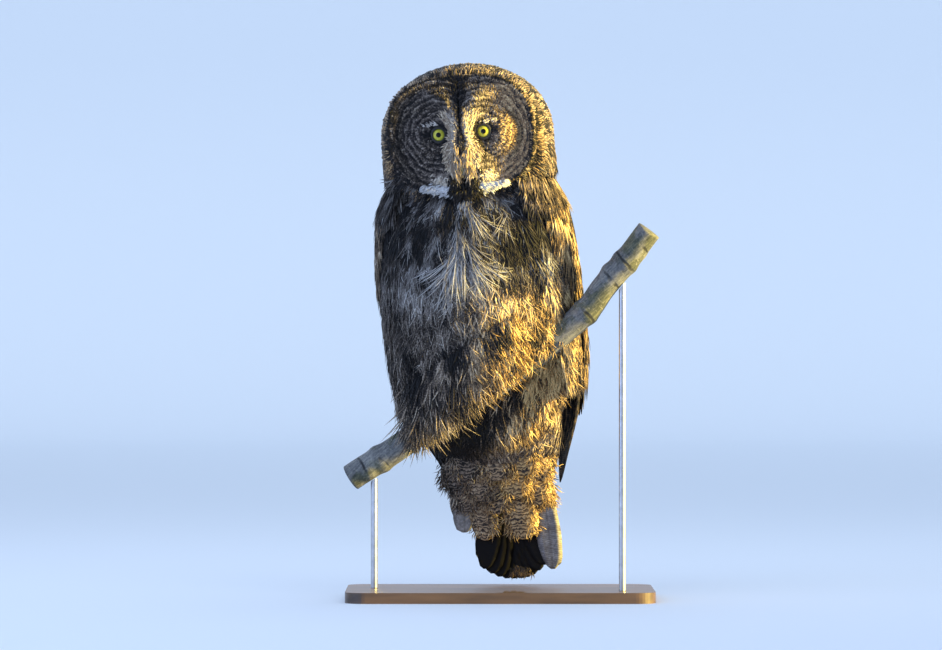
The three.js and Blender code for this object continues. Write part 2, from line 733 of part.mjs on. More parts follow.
const tail = joined([rumpPart, ...tailFeathers().map((feather) => inWorld(feather))]);
addNode("tail", largest(tail.subtract(branchRoom)), COLOURS.tail);

for (const { name, frame } of feet) {
  const leg = legSolid(frame, 0).subtract(branchRoom).subtract(footForm(frame, GAP));
  addNode(`leg_${name}`, largest(leg), COLOURS.plumage);
  addNode(`foot_${name}`, largest(footForm(frame, 0).subtract(branchRoom)), COLOURS.plumage);
  talonForms(frame).forEach((talon, i) => {
    addNode(`talon_${name}_${i + 1}`, largest(talon.subtract(footForm(frame, GAP))), COLOURS.talon, 0.35);
  });
}

addNode("perch_branch", branch, COLOURS.bark);
addNode("stand_base", standBase(), COLOURS.base, 0.5);
for (const [name, x] of Object.entries(ROD_PLACES))
  addNode(`stand_rod_${name}`, standRod(x), COLOURS.rod, 0.35, 1);

export default owl;
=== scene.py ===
# %% [markdown]
# # A great grey owl on a cut branch
# The imported model gives every size. This lesson dresses it: one skin under the coat, a coat of small solid
# feathers, glassy eyes, horn, bark and a plain stand. The frame is loaded first, because each new piece has
# to stay on it.

# %% Load the frame
import math

import bmesh
import bpy
import numpy as np
from mathutils import Matrix, Vector
from mathutils.bvhtree import BVHTree


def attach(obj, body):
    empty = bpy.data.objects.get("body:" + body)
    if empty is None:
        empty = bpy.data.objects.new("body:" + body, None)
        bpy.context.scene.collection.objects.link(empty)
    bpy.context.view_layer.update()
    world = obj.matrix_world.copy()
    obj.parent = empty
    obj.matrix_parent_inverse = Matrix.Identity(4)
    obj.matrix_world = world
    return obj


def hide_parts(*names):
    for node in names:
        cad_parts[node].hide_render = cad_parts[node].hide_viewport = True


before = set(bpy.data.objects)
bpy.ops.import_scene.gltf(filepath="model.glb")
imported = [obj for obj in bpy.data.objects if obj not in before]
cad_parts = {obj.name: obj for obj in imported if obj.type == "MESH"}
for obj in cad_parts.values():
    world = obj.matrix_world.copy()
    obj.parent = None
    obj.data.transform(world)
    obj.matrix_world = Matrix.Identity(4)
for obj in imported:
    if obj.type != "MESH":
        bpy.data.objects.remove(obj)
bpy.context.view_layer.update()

# %% [markdown]
# ## Where the owl stands
# The owl is worked out upright and square to -Y, in millimetres, and is then turned and leant by one
# matrix, as in the drawing. Modelling it already leant would make every sum harder. One seeded generator
# shakes all the feathers, so each run gives the same coat.

# %% Places
MM = 0.001
FEATHER_SEED = 11
STANCE = Vector((-18, 18, 300))
BODY_LEAN, BODY_TURN, HEAD_TURN = (math.radians(v) for v in (4.5, 14, 7))
HEAD_CENTRE = Vector((3, -15, 606))
owl_place = (
    Matrix.Translation(STANCE)
    @ Matrix.Rotation(-BODY_LEAN, 4, "Y")
    @ Matrix.Rotation(-BODY_TURN, 4, "Z")
    @ Matrix.Translation((0, 0, -STANCE.z))
)
head_in_owl = Matrix.Translation(HEAD_CENTRE) @ Matrix.Rotation(HEAD_TURN, 4, "Z")
head_place = owl_place @ head_in_owl
rng = np.random.default_rng(FEATHER_SEED)
print("the head's middle stands at", [round(v) for v in owl_place @ HEAD_CENTRE], "mm")

# %% [markdown]
# ## Small sums
# A feather's place, lie and darkness each come from a few sums. They could be done feather by feather in a
# loop, but numpy does them for whole arrays at once, which keeps thousands of feathers quick.


# %% Small sums
def mix(a, b, t):
    return a + (b - a) * t


def smooth(low, high, x):
    """0 up to low, 1 from high on, and a soft step between"""
    t = np.clip((np.asarray(x, float) - low) / (high - low), 0, 1)
    return t * t * (3 - 2 * t)


def bump(x, width):
    """1 where x is 0, falling away softly over a width"""
    return np.exp(-((x / width) ** 2))


def unit(vectors):
    return vectors / np.maximum(np.linalg.norm(vectors, axis=-1, keepdims=True), 1e-9)


def columns(*values):
    """A table with one column for each value, such as x, y and z"""
    return np.stack(np.broadcast_arrays(*values), axis=-1)


def moved(points, matrix):
    table = np.array(matrix)
    return points @ table[:3, :3].T + table[:3, 3]


def turned(vectors, matrix):
    return vectors @ np.array(matrix)[:3, :3].T


print("a soft step at a quarter of its way:", round(float(smooth(0, 1, 0.25)), 3))

# %% [markdown]
# ## The body's surface
# Stations down the body hold its half width and depth, front and back. A smooth curve through them gives
# the surface at any height and angle. The folded wings lie on a second set that hangs outside the body
# lower down. These are the numbers of the CAD source, so the coat fits the solids.

# %% Stations
# height, side, front, back, x, y
BODY = np.array([
    (126, 36, 7, 7, -5, 66), (145, 62, 18, 18, -5, 59), (175, 80, 35, 35, -3, 46),
    (205, 92, 52, 49, -5, 36), (245, 112, 74, 66, -14, 20), (290, 121, 92, 77, -4, 7),
    (360, 126, 99, 86, 0, 0), (440, 126, 97, 91, 0, -6), (500, 119, 82, 88, 0, -10),
    (545, 106, 61, 78, 0, -12), (576, 92, 50, 66, 0, -10),
], float)
CARRIER = np.array([
    (136, 80, 40, 40, 0, 58), (180, 96, 56, 56, 0, 42), (230, 115, 70, 70, 0, 25), (290, 125, 93, 81, 0, 8),
    (360, 128, 100, 88, 0, 0), (440, 127, 98, 92, 0, -6), (500, 120, 85, 89, 0, -10),
    (532, 113, 76, 83, 0, -11),
], float)
LEADING = np.array([(143, 0.3), (220, 0.12), (300, 0), (395, -0.12), (422, -0.27), (463, -0.42),
                    (500, -0.5), (528, -0.62)], float)
TRAILING = np.array([(143, 0.8), (220, 1.15), (280, 1.42), (340, 1.48), (440, 1.4), (528, 1.12)], float)
SQUARENESS = 2.25


def station(table, column, height):
    """A value down the body, on a smooth curve through the stations."""
    heights, values = table[:, 0], table[:, column]
    slopes = np.gradient(values, heights)
    height = np.asarray(height, float)
    i = np.clip(np.searchsorted(heights, height) - 1, 0, len(heights) - 2)
    span = heights[i + 1] - heights[i]
    t = np.clip((height - heights[i]) / span, 0, 1)
    return (
        values[i] * (1 + 2 * t) * (1 - t) ** 2
        + slopes[i] * span * t * (1 - t) ** 2
        + values[i + 1] * t * t * (3 - 2 * t)
        + slopes[i + 1] * span * t * t * (t - 1)
    )


def skin_point(table, height, angle, grow=0.0):
    """Angle 0 is the front, and a quarter turn is the owl's left."""
    s, c = np.sin(angle), np.cos(angle)
    power = 2 / SQUARENESS
    side = station(table, 1, height) + grow
    depth = np.where(c > 0, station(table, 2, height), station(table, 3, height)) + grow
    x = station(table, 4, height) + side * np.sign(s) * np.abs(s) ** power
    y = station(table, 5, height) - depth * np.sign(c) * np.abs(c) ** power
    return columns(x, y, height)


print("body stations from", BODY[0, 0], "to", BODY[-1, 0], "mm high")

# %% [markdown]
# ## The branch's line
# The branch slants, so its height under the owl changes from side to side, and the plumes over it have to
# follow. A few points from the drawing become one smooth line in even steps. A Bezier curve would draw the
# same line, but the sums need its points at hand.

# %% Branch line
# x and z of the branch's centre line in the world
BRANCH_PLACES = [(-194, 158), (-130, 199), (-91, 226), (-12, 277), (56, 327), (110, 374), (134, 405),
                 (171, 451), (192, 479)]
BRANCH_FORWARD = -20
BRANCH_RADIUS = 19
BRANCH_STEPS = 200
FINE_STEPS = 24


def catmull(points, steps):
    """A smooth line through the points, in even steps."""
    points = np.asarray(points, float)
    ends = np.vstack([2 * points[0] - points[1], points, 2 * points[-1] - points[-2]])
    line = []
    for i in range(len(points) - 1):
        a, b, c, d = ends[i:i + 4]
        t = np.linspace(0, 1, FINE_STEPS, endpoint=False)[:, None]
        bend, twist = 2 * a - 5 * b + 4 * c - d, 3 * b - a - 3 * c + d
        line.append(0.5 * (2 * b + (c - a) * t + bend * t**2 + twist * t**3))
    line = np.vstack([*line, points[-1:]])
    run = np.concatenate([[0], np.cumsum(np.linalg.norm(np.diff(line, axis=0), axis=1))])
    even = np.linspace(0, run[-1], steps + 1)
    return columns(*(np.interp(even, run, line[:, k]) for k in range(line.shape[1])))


branch_line = catmull(
    [(x, BRANCH_FORWARD - math.tan(BODY_TURN) * (x - STANCE.x), z) for x, z in BRANCH_PLACES], BRANCH_STEPS
)
branch_in_owl = moved(branch_line, owl_place.inverted())
branch_y = float(branch_in_owl[BRANCH_STEPS // 2, 1])


def branch_height(x):
    return np.interp(x, branch_in_owl[:, 0], branch_in_owl[:, 2])


print("branch under the owl at y", round(branch_y, 1), "mm, height", round(float(branch_height(0)), 1),
      "mm")

# %% [markdown]
# ## The head's surface
# The dome is an egg with its own crown and jaw. The face is a shallow dish for each eye, with the brows'
# crescents between them. The same formulas shape the skin and carry the small feathers.

# %% Head surface
DOME_SIDE, DOME_CROWN, DOME_JAW, DOME_FRONT = 110, 91, 81, 96
CROWN_POWER, JAW_POWER, DOME_FULLNESS = 2.05, 5.0, 0.86
DISC_HALF_WIDTH, DISC_HALF_HEIGHT, DISC_POWER = 90, 71, 2.8
FACE_FORWARD = 70
EYE_SIDE, EYE_DEPTH, EYE_HEIGHT, EYE_RADIUS = 29.3, 53, 1, 13


def oval(angle, width, height, power):
    return ((np.abs(np.cos(angle)) / width) ** power
            + (np.abs(np.sin(angle)) / height) ** power) ** (-1 / power)


def disc_edge(angle):
    return oval(angle, DISC_HALF_WIDTH, DISC_HALF_HEIGHT, DISC_POWER)


def dome_point(way, grow=0.0):
    """The dome's surface in a direction from the head's middle, in the head's frame."""
    turn = np.arccos(np.clip(-way[:, 1], -1, 1))
    angle = np.arctan2(way[:, 2], way[:, 0])
    crown = oval(angle, DOME_SIDE, DOME_CROWN, CROWN_POWER)
    jaw = oval(angle, DOME_SIDE, DOME_JAW, JAW_POWER)
    reach = np.where(np.sin(angle) > 0, crown, jaw) + grow
    reach = reach * np.maximum(np.sin(turn), 0) ** DOME_FULLNESS
    return columns(reach * np.cos(angle), -(DOME_FRONT + grow) * np.cos(turn), reach * np.sin(angle))


def face_share(x, z):
    return np.hypot(x, z) / disc_edge(np.arctan2(z, x))


def face_forward(x, z):
    """How far the face stands before the head's middle: brows, ridge, chin and rim out, the dishes in"""
    ax = np.abs(x)
    crescent = 12 + 0.0062 * (z + 2) ** 2
    brow = 8 * bump(ax - crescent, 13) * smooth(-60, -30, z) * (1 - smooth(38, 58, z))
    ridge = 5 * bump(ax, 8) * smooth(-50, -20, z) * (1 - smooth(10, 40, z))
    chin = 7 * bump(ax - 12, 16) * bump(z + 50, 14)
    dish = 8 * bump(np.hypot(ax - 46, z + 2) - 24, 20)
    rim = 5 * bump(face_share(x, z) - 0.97, 0.09)
    plain = mix(FACE_FORWARD, FACE_FORWARD - 9, np.clip(face_share(x, z), 0, 1) ** 3)
    return plain + brow + ridge + chin + rim - dish


def face_point(x, z, sink=0.0):
    return columns(x, -(face_forward(x, z) - sink), z)


print("dome", 2 * DOME_SIDE, "mm wide, facial disc", 2 * DISC_HALF_WIDTH, "mm wide")

# %% [markdown]
# ## Camera
# The photograph is taken from far away at the owl's height, so a long lens keeps the outline flat. The lens
# follows from the distance and from the width that the frame has to take in. Setting it by eye would take
# many tries.

# %% Camera
CAMERA_DISTANCE = 6.8
VIEW_CENTRE = Vector((-0.0377, -0.02, 0.3575))
FRAME_WIDTH = 1.2246
SENSOR = 36

camera_data = bpy.data.cameras.new("camera")
camera_data.sensor_width = SENSOR
camera_data.lens = SENSOR * CAMERA_DISTANCE / FRAME_WIDTH
camera = bpy.data.objects.new("camera", camera_data)
camera.location = VIEW_CENTRE + Vector((0, -CAMERA_DISTANCE, 0))
camera.rotation_euler = (math.radians(90), 0, 0)
bpy.context.collection.objects.link(camera)
bpy.context.scene.camera = camera
print("camera lens", round(camera_data.lens, 1), "mm")

# %% [markdown]
# ## Lamps
# Low evening sun comes from the right, and the left side is filled with pale blue. A sun lamp could be the
# key, but a near, small area lamp gives a softer edge to its shade. A wide cool lamp fills, and two weak
# ones behind draw the outline. The sun lamp here, turned wide and soft, is for the floor alone.


# %% Lamps
def lamp(name, place, size, power, colour, aim=(0, 0, 0.4)):
    data = bpy.data.lights.new(name, "AREA")
    data.size = size
    data.energy = power
    data.color = colour
    light = bpy.data.objects.new(name, data)
    light.location = place
    light.rotation_euler = (Vector(aim) - Vector(place)).to_track_quat("-Z", "Y").to_euler()
    bpy.context.collection.objects.link(light)
    return light


key = lamp("key", (5.9, -1.45, 1.7), 1.1, 3350, (1.0, 0.765, 0.21))
lamp("fill", (-2.4, -2.0, 1.2), 2.4, 64, (0.42, 0.56, 1.0))
lamp("top", (0.0, 0.6, 2.6), 2.4, 24, (0.86, 0.92, 1.0))
cool_rim = lamp("cool rim", (-1.8, 3.2, 1.5), 2.0, 60, (0.80, 0.88, 1.0))
warm_rim = lamp("warm rim", (1.7, 3.2, 1.3), 2.0, 40, (1.0, 0.90, 0.74))
room_data = bpy.data.lights.new("room", "SUN")
room_data.energy = 2.1
room_data.angle = 1.2
room_data.color = (0.84, 0.92, 1.0)
room = bpy.data.objects.new("room", room_data)
room.rotation_euler = (math.radians(50), 0, 0)
bpy.context.collection.objects.link(room)
print("lamps:", len(bpy.data.lights))

# %% [markdown]
# ## Even light and colour
# The world's even blue lights what no lamp reaches. Blender's usual view transform turns a bright yellow
# pale, as film does. The sunlit feathers are a strong gold, so the plain Standard transform is used, and a
# lower exposure keeps them from burning out.

# %% Even light and colour
world = bpy.data.worlds.new("pale room")
world.use_nodes = True
world.node_tree.nodes["Background"].inputs["Color"].default_value = (0.54, 0.71, 1.0, 1)
world.node_tree.nodes["Background"].inputs["Strength"].default_value = 1.05
bpy.context.scene.world = world
bpy.context.scene.view_settings.view_transform = "Standard"
bpy.context.scene.view_settings.exposure = -0.66
print("exposure", round(bpy.context.scene.view_settings.exposure, 2))

# %% [markdown]
# ## Writing materials as sums
# Nodes could be placed and joined by hand in the editor, but a long sum of masks is hard to read there.
# Here a wire stands for one output of a node, and a sum of wires adds the Math nodes for it.


# %% Wires
class Wire:
    """One output of a node. Arithmetic on it adds Math nodes."""

    def __init__(self, finish, socket):
        self.finish = finish
        self.socket = socket

    def _math(self, operation, *values):
        return self.finish.node("Math", {"operation": operation}, dict(enumerate(values)))

    def __add__(self, other):
        return self._math("ADD", self, other)

    def __radd__(self, other):
        return self._math("ADD", other, self)

    def __sub__(self, other):
        return self._math("SUBTRACT", self, other)

    def __rsub__(self, other):
        return self._math("SUBTRACT", other, self)

    def __mul__(self, other):
        return self._math("MULTIPLY", self, other)

    def __rmul__(self, other):
        return self._math("MULTIPLY", other, self)

    def __abs__(self):
        return self._math("ABSOLUTE", self)


# %% [markdown]
# ## Finishes
# A finish is one material. Its Principled shader keeps the fixed values on its own sockets, and any other
# node comes from one method, so each finish reads as a short recipe.


# %% Finishes
class Finish:
    def __init__(self, name, **fixed):
        self.material = bpy.data.materials.new(name)
        self.material.use_nodes = True
        self.tree = self.material.node_tree
        self.shader = self.tree.nodes["Principled BSDF"]
        for socket, value in fixed.items():
            self.shader.inputs[socket.replace("_", " ")].default_value = value

    def node(self, kind, settings=None, inputs=None, out=0):
        node = self.tree.nodes.new("ShaderNode" + kind)
        for key, value in (settings or {}).items():
            if key == "stops":
                ramp = node.color_ramp
                while len(ramp.elements) < len(value):
                    ramp.elements.new(0.5)
                for element, (place, colour) in zip(ramp.elements, value):
                    element.position = place
                    element.color = (*colour, 1)
            else:
                setattr(node, key, value)
        for key, value in (inputs or {}).items():
            if isinstance(value, Wire):
                self.tree.links.new(value.socket, node.inputs[key])
            else:
                node.inputs[key].default_value = value
        return Wire(self, node.outputs[out])

    def feed(self, socket, wire):
        self.tree.links.new(wire.socket, self.shader.inputs[socket])

    def place(self):
        return self.node("TexCoord", out="Object")

    def attribute(self, name):
        return self.node("Attribute", {"attribute_name": name}, out="Vector")

    def split(self, vector):
        return [self.node("SeparateXYZ", None, {0: vector}, out=i) for i in range(3)]

    def noise(self, scale, detail=2.0, at=None, stretch=None):
        at = at or self.place()
        if stretch:
            at = self.node("Mapping", None, {"Vector": at, "Scale": stretch})
        return self.node("TexNoise", None, {"Vector": at, "Scale": scale, "Detail": detail})

    def ramp(self, factor, stops):
        return self.node("ValToRGB", {"stops": stops}, {0: factor})

    def blend(self, factor, a, b):
        return self.node("Mix", {"data_type": "RGBA"}, {0: factor, 6: a, 7: b}, out=2)

    def wave(self, wire):
        return self.node("Math", {"operation": "SINE"}, {0: wire})

    def step(self, wire, low, high):
        """0 below low and 1 above high, softly"""
        settings = {"interpolation_type": "SMOOTHSTEP"}
        return self.node("MapRange", settings, {"Value": wire, "From Min": low, "From Max": high})

    def relief(self, height, strength, distance):
        inputs = {"Height": height, "Strength": strength, "Distance": distance}
        self.feed("Normal", self.node("Bump", None, inputs))


def speckled(name, scale, dark, pale, pale_from=0.7, detail=2.0, stretch=None, **fixed):
    finish = Finish(name, **fixed)
    grain = finish.noise(scale, detail, stretch=stretch)
    finish.feed("Base Color", finish.ramp(grain, [(0.3, dark), (pale_from, pale)]))
    return finish


floor_finish = Finish("pale floor", Roughness=0.9)
floor_finish.shader.inputs["Base Color"].default_value = (0.76, 0.80, 0.85, 1)
print("first finish:", floor_finish.material.name)

# %% [markdown]
# ## The floor and its sweep
# A photographer rolls paper down a wall and over the floor, so that no corner shows. One grid's back edge
# is extruded in small turns, which is that roll. A bevel on two planes would give the same, with more
# steps.

# %% Floor
FLOOR_HALF, FLOOR_BACK = 60, 9
BENDS, BEND_ANGLE, BEND_LENGTH, WALL_HEIGHT = 12, 7.5, 0.16, 6

floor_mesh = bpy.data.meshes.new("floor")
floor_form = bmesh.new()
bmesh.ops.create_grid(floor_form, x_segments=2, y_segments=2, size=FLOOR_HALF)
bmesh.ops.translate(floor_form, verts=floor_form.verts, vec=(0, FLOOR_BACK - FLOOR_HALF, 0))
sweep = [e for e in floor_form.edges if all(v.co.y > FLOOR_BACK - 0.1 for v in e.verts)]
for step in range(BENDS + 1):
    bend = min(math.radians(BEND_ANGLE * (step + 0.5)), math.pi / 2)
    reach = WALL_HEIGHT if step == BENDS else BEND_LENGTH
    raised = bmesh.ops.extrude_edge_only(floor_form, edges=sweep)["geom"]
    sweep = [g for g in raised if isinstance(g, bmesh.types.BMEdge)]
    corners = [g for g in raised if isinstance(g, bmesh.types.BMVert)]
    bmesh.ops.translate(floor_form, verts=corners, vec=(0, reach * math.cos(bend), reach * math.sin(bend)))
for face in floor_form.faces:
    face.smooth = True
floor_form.to_mesh(floor_mesh)
floor_form.free()
floor = bpy.data.objects.new("floor", floor_mesh)
floor.data.materials.append(floor_finish.material)
bpy.context.collection.objects.link(floor)
print("floor faces:", len(floor_mesh.polygons))

# %% [markdown]
# ## Light for the owl and light for the floor
# The strong key lamp would burn a bright patch into the pale floor, and the rim lamps a band. In a studio,
# black flags shade the floor from them. Light linking does the same without any flag in the picture: those
# lamps leave the floor out, and the soft sun lights nothing else.


# %% Light linking
def link_light(light, piece, state):
    """Lets a lamp light one object alone (INCLUDE), or all but that one (EXCLUDE)"""
    group = bpy.data.collections.new(light.name + " and " + piece.name)
    group.objects.link(piece)
    group.collection_objects[0].light_linking.link_state = state
    light.light_linking.receiver_collection = group


shaded_off = (key, cool_rim, warm_rim)
for light in shaded_off:
    link_light(light, floor, "EXCLUDE")
link_light(room, floor, "INCLUDE")
print("lamps that leave the floor out:", len(shaded_off))

# %% [markdown]
# ## Pieces on the frame
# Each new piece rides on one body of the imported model, has a slot for its finish, and may take the place of
# solids. One helper does this for all pieces, so that none is left out.


# %% Pieces on the frame
def new_object(name, mesh, finish, replaces=()):
    piece = bpy.data.objects.new(name, mesh)
    bpy.context.collection.objects.link(piece)
    mesh.materials.append(finish.material)
    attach(piece, "root")
    if replaces:
        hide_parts(*replaces)
    return piece


# %% [markdown]
# ## Forms of the skin
# On the real model a carved core fills the skin. Here three round forms take the shapes of body, dome and
# face, shrunk by the coat's depth. Moving a sphere's points keeps the rows even, which a sculpt by hand
# would not.

# %% Forms of the skin
COAT_DEPTH = 6.0
HEAD_COAT_DEPTH = -0.8
BODY_LOW, BODY_HIGH = 122, 582
DOME_FLAT = -50
FACE_BACK = -30


def ball_form(across, up, shape):
    """A sphere whose points go where shape(unit directions) puts them."""
    form = bmesh.new()
    bmesh.ops.create_uvsphere(form, u_segments=across, v_segments=up, radius=1)
    bmesh.ops.rotate(form, verts=form.verts, matrix=Matrix.Rotation(math.radians(90), 3, "X"))
    ways = np.array([v.co for v in form.verts])
    for vertex, point in zip(form.verts, shape(unit(ways))):
        vertex.co = point * MM
    bmesh.ops.recalc_face_normals(form, faces=form.faces)
    return form


def under_branch(points):
    """Draws the front back behind the branch, below its centre line."""
    low = points[:, 2] < branch_height(points[:, 0]) - 2
    behind = branch_y + BRANCH_RADIUS + 1
    points[:, 1] = np.where(low, np.maximum(points[:, 1], behind), points[:, 1])
    return points


def body_shape(way):
    height = mix(BODY_LOW, BODY_HIGH, np.arccos(-way[:, 1]) / math.pi)
    angle = np.arctan2(way[:, 0], way[:, 2])
    points = skin_point(BODY, height, angle, -COAT_DEPTH)
    pole = np.abs(way[:, 1]) > 0.9999
    points[pole, 0] = 0
    points[pole, 1] = np.where(way[pole, 1] < 0, BODY[0, 5], BODY[-1, 5])
    return under_branch(points)


def dome_shape(way):
    points = dome_point(way, -HEAD_COAT_DEPTH)
    points[:, 1] = np.maximum(points[:, 1], DOME_FLAT)
    return moved(points, head_in_owl)


def face_shape(way):
    angle = np.arctan2(way[:, 2], way[:, 0])
    flat = np.hypot(way[:, 0], way[:, 2]) ** 0.9
    reach = flat * (disc_edge(angle) - 3)
    x, z = reach * np.cos(angle), reach * np.sin(angle)
    front = -(face_forward(x, z) - 4)
    return moved(columns(x, np.where(way[:, 1] < 0.02, front, FACE_BACK), z), head_in_owl)


skin_form = ball_form(72, 64, body_shape)
for form in (ball_form(64, 48, dome_shape), ball_form(72, 60, face_shape)):
    part_mesh = bpy.data.meshes.new("part")
    form.to_mesh(part_mesh)
    skin_form.from_mesh(part_mesh)
    form.free()
    bpy.data.meshes.remove(part_mesh)
print("faces of body, dome and face:", len(skin_form.faces))

# %% [markdown]
# ## One fused skin
# The three forms cut through each other. A boolean would leave sharp seams, so a voxel remesh fuses them,
# as wet clay would, and a few rounds of smoothing round the neck.

# %% One fused skin
VOXEL = 0.004
NECK_LOW, NECK_HIGH = 0.505, 0.560


def remeshed(mesh, voxel):
    holder = bpy.data.objects.new("holder", mesh)
    bpy.context.collection.objects.link(holder)
    fuse = holder.modifiers.new("fuse", "REMESH")
    fuse.mode = "VOXEL"
    fuse.voxel_size = voxel
    made = bpy.data.meshes.new_from_object(holder.evaluated_get(bpy.context.evaluated_depsgraph_get()))
    bpy.data.objects.remove(holder)
    return made


def smooth_form(form, verts, rounds):
    axes = {"use_axis_x": True, "use_axis_y": True, "use_axis_z": True}
    for _ in range(rounds):
        bmesh.ops.smooth_vert(form, verts=verts, factor=0.5, **axes)


skin_mesh = bpy.data.meshes.new("skin")
skin_form.to_mesh(skin_mesh)
skin_form.free()
skin_mesh = remeshed(skin_mesh, VOXEL)
skin_form = bmesh.new()
skin_form.from_mesh(skin_mesh)
smooth_form(skin_form, skin_form.verts, 4)
smooth_form(skin_form, [v for v in skin_form.verts if NECK_LOW < v.co.z < NECK_HIGH], 12)
skin_points = np.array([v.co for v in skin_form.verts]) / MM
skin_faces = [[v.index for v in f.verts] for f in skin_form.faces]
skin_tree = BVHTree.FromPolygons(skin_points.tolist(), skin_faces)
skin_place = Matrix.Scale(MM, 4) @ owl_place @ Matrix.Scale(1 / MM, 4)
bmesh.ops.transform(skin_form, verts=skin_form.verts, matrix=skin_place)
skin_form.to_mesh(skin_mesh)
skin_form.free()
skin_mesh.shade_smooth()
skin_finish = Finish("skin under the down", Roughness=0.9)
skin = new_object("skin", skin_mesh, skin_finish,
                  ("head", "neck", "torso", "leg_left", "leg_right", "foot_left", "foot_right"))
print("skin faces:", len(skin_mesh.polygons))

# %% [markdown]
# ## Finding the skin with rays
# A feather's root has to sit on the skin. Shrinkwrap would pull finished pieces on to it, but here only the
# roots are wanted, so rays from outside find each place and the way the skin faces there.


# %% Rays to the skin
def cast(starts, ways):
    """Where each ray first meets the skin: which rays hit, the places and the normals."""
    hit, places, normals = [], [], []
    for start, way in zip(starts, ways):
        place, normal, _, _ = skin_tree.ray_cast(Vector(start), Vector(way))
        hit.append(place is not None)
        places.append(place or (0, 0, 0))
        normals.append(normal or (0, 0, 1))
    normals = np.array(normals)
    flip = np.sum(normals * np.array(ways), axis=1) > 0
    normals[flip] *= -1
    return np.array(hit), np.array(places), normals


print("ray test, a place on the breast:", cast([(0, -260, 450)], [(0, 1, 0)])[1].round(1))

# %% [markdown]
# ## Rows of roots
# Feathers grow in rows round the body. A particle system scatters them by chance, which leaves gaps and
# clumps. Here they stand in staggered rows and are shaken a little, because even rows would look knitted.


# %% Rows of roots
GIRTH = 700.0


def scatter(step_up, step_round, low, high):
    """Heights and angles in staggered rows round the body, a little shaken"""
    heights = np.arange(low, high, step_up)
    count = int(GIRTH / step_round)
    angles = (np.arange(count) + 0.5) / count * 2 * math.pi - math.pi
    z, a = np.meshgrid(heights, angles, indexing="ij")
    a = a + (np.arange(len(heights)) % 2)[:, None] * math.pi / count
    z = z + rng.uniform(-0.35, 0.35, z.shape) * step_up
    a = a + rng.uniform(-0.3, 0.3, a.shape) * 2 * math.pi / count
    return z.ravel(), (a.ravel() + math.pi) % (2 * math.pi) - math.pi


def along_skin(vectors, normals):
    return unit(vectors - normals * np.sum(vectors * normals, axis=1, keepdims=True))


print("roots in one row of the back coat:", int(GIRTH / 9.6))

# %% [markdown]
# ## One small feather
# A real feather is a fan of soft barbs. Hair curves would draw them well, but they are lost in the export.
# So each feather is a fan of a few locks from one root, which reads as a feather with a loose edge. Every
# lock carries its darkness, its warmth and how strongly it is barred.


# %% A fan of locks
def fan(root, normal, flow, length, width, tone, cell, locks=5, splay=0.4, rise=0.16, hug=0.16, streak=0.0,
        warmth=0.5, bars=0.0, sway=0.25, spread=0.34, thick=0.22, ragged=0.15):
    """Turns each feather into a fan of locks. Every value may be one number or one for each feather."""
    n = len(root)
    pick = np.repeat(np.arange(n), locks)
    across = np.tile(np.linspace(-1, 1, locks) if locks > 1 else np.zeros(1), n)
    across = across + rng.uniform(-0.5, 0.5, n * locks) / max(locks, 2)

    def each(value):
        return np.broadcast_to(np.asarray(value, float), (n,))[pick]

    side = np.cross(normal, flow)[pick]
    size = each(width)
    reach = each(length) * (1 - 0.22 * across**2) * rng.uniform(1 - ragged, 1 + ragged, n * locks)
    lock_flow = unit(flow[pick] + side * (across * each(splay))[:, None]
                     + side * rng.normal(0, 0.05, n * locks)[:, None])
    dark = each(streak) * (1 - smooth(0.25, 0.85, np.abs(across)))
    shift = (across * size * each(spread))[:, None]
    return {
        "root": root[pick] + side * shift - normal[pick] * rng.uniform(0, 0.6, n * locks)[:, None],
        "normal": normal[pick],
        "flow": lock_flow,
        "length": reach,
        "width": size / locks * 2.0,
        "thick": each(thick),
        "rise": each(rise) * rng.uniform(0.7, 1.3, n * locks),
        "hug": each(hug),
        "sway": rng.normal(0, 1, n * locks) * each(sway) * 0.4 - across * each(splay) * 0.35,
        "tone": each(tone) + dark + rng.normal(0, 0.045, n * locks),
        "warmth": each(warmth),
        "bars": each(bars),
        "cell": cell[pick],
        "across": across,
        "chance": rng.uniform(0, 1, n)[pick],
        "head": root[pick],
    }


def gathered(parts):
    return {key: np.concatenate([part[key] for part in parts]) for key in parts[0]}


# %% [markdown]
# ## Meshes from arrays
# A coat piece has up to a hundred thousand faces. Adding them one by one would take minutes, so the mesh is
# filled from arrays. The OFBake map lays each lock on a small patch, and the marks are read by the finish.


# %% Meshes from arrays
def mesh_of(name, points, triangles, patches, marks):
    mesh = bpy.data.meshes.new(name)
    mesh.vertices.add(len(points))
    mesh.vertices.foreach_set("co", np.ascontiguousarray(points, np.float32).ravel())
    mesh.loops.add(triangles.size)
    mesh.loops.foreach_set("vertex_index", np.ascontiguousarray(triangles, np.int32).ravel())
    mesh.polygons.add(len(triangles))
    mesh.polygons.foreach_set("loop_start", np.arange(0, triangles.size, 3, dtype=np.int32))
    mesh.update(calc_edges=True)
    layer = mesh.uv_layers.new(name="OFBake")
    layer.data.foreach_set("uv", np.ascontiguousarray(patches[triangles.ravel()], np.float32).ravel())
    for key, values in marks.items():
        mark = mesh.attributes.new(key, "FLOAT_VECTOR", "POINT")
        mark.data.foreach_set("vector", np.ascontiguousarray(values, np.float32).ravel())
    mesh.shade_smooth()
    return mesh


# %% [markdown]
# ## Locks
# A lock is a thin closed sliver with three sides, flat below and ridged above, that narrows to a point. A
# flat strip would be half the faces, but it has no thickness and shows its edge as a line.

# %% Locks
# where along a lock its rings stand, and how wide they are, for three rings and for two
LOCK_PLACES = {3: (0.0, 0.38, 0.74), 2: (0.0, 0.5)}
LOCK_WIDTHS = {3: (0.55, 1.0, 0.72), 2: (0.7, 0.9)}


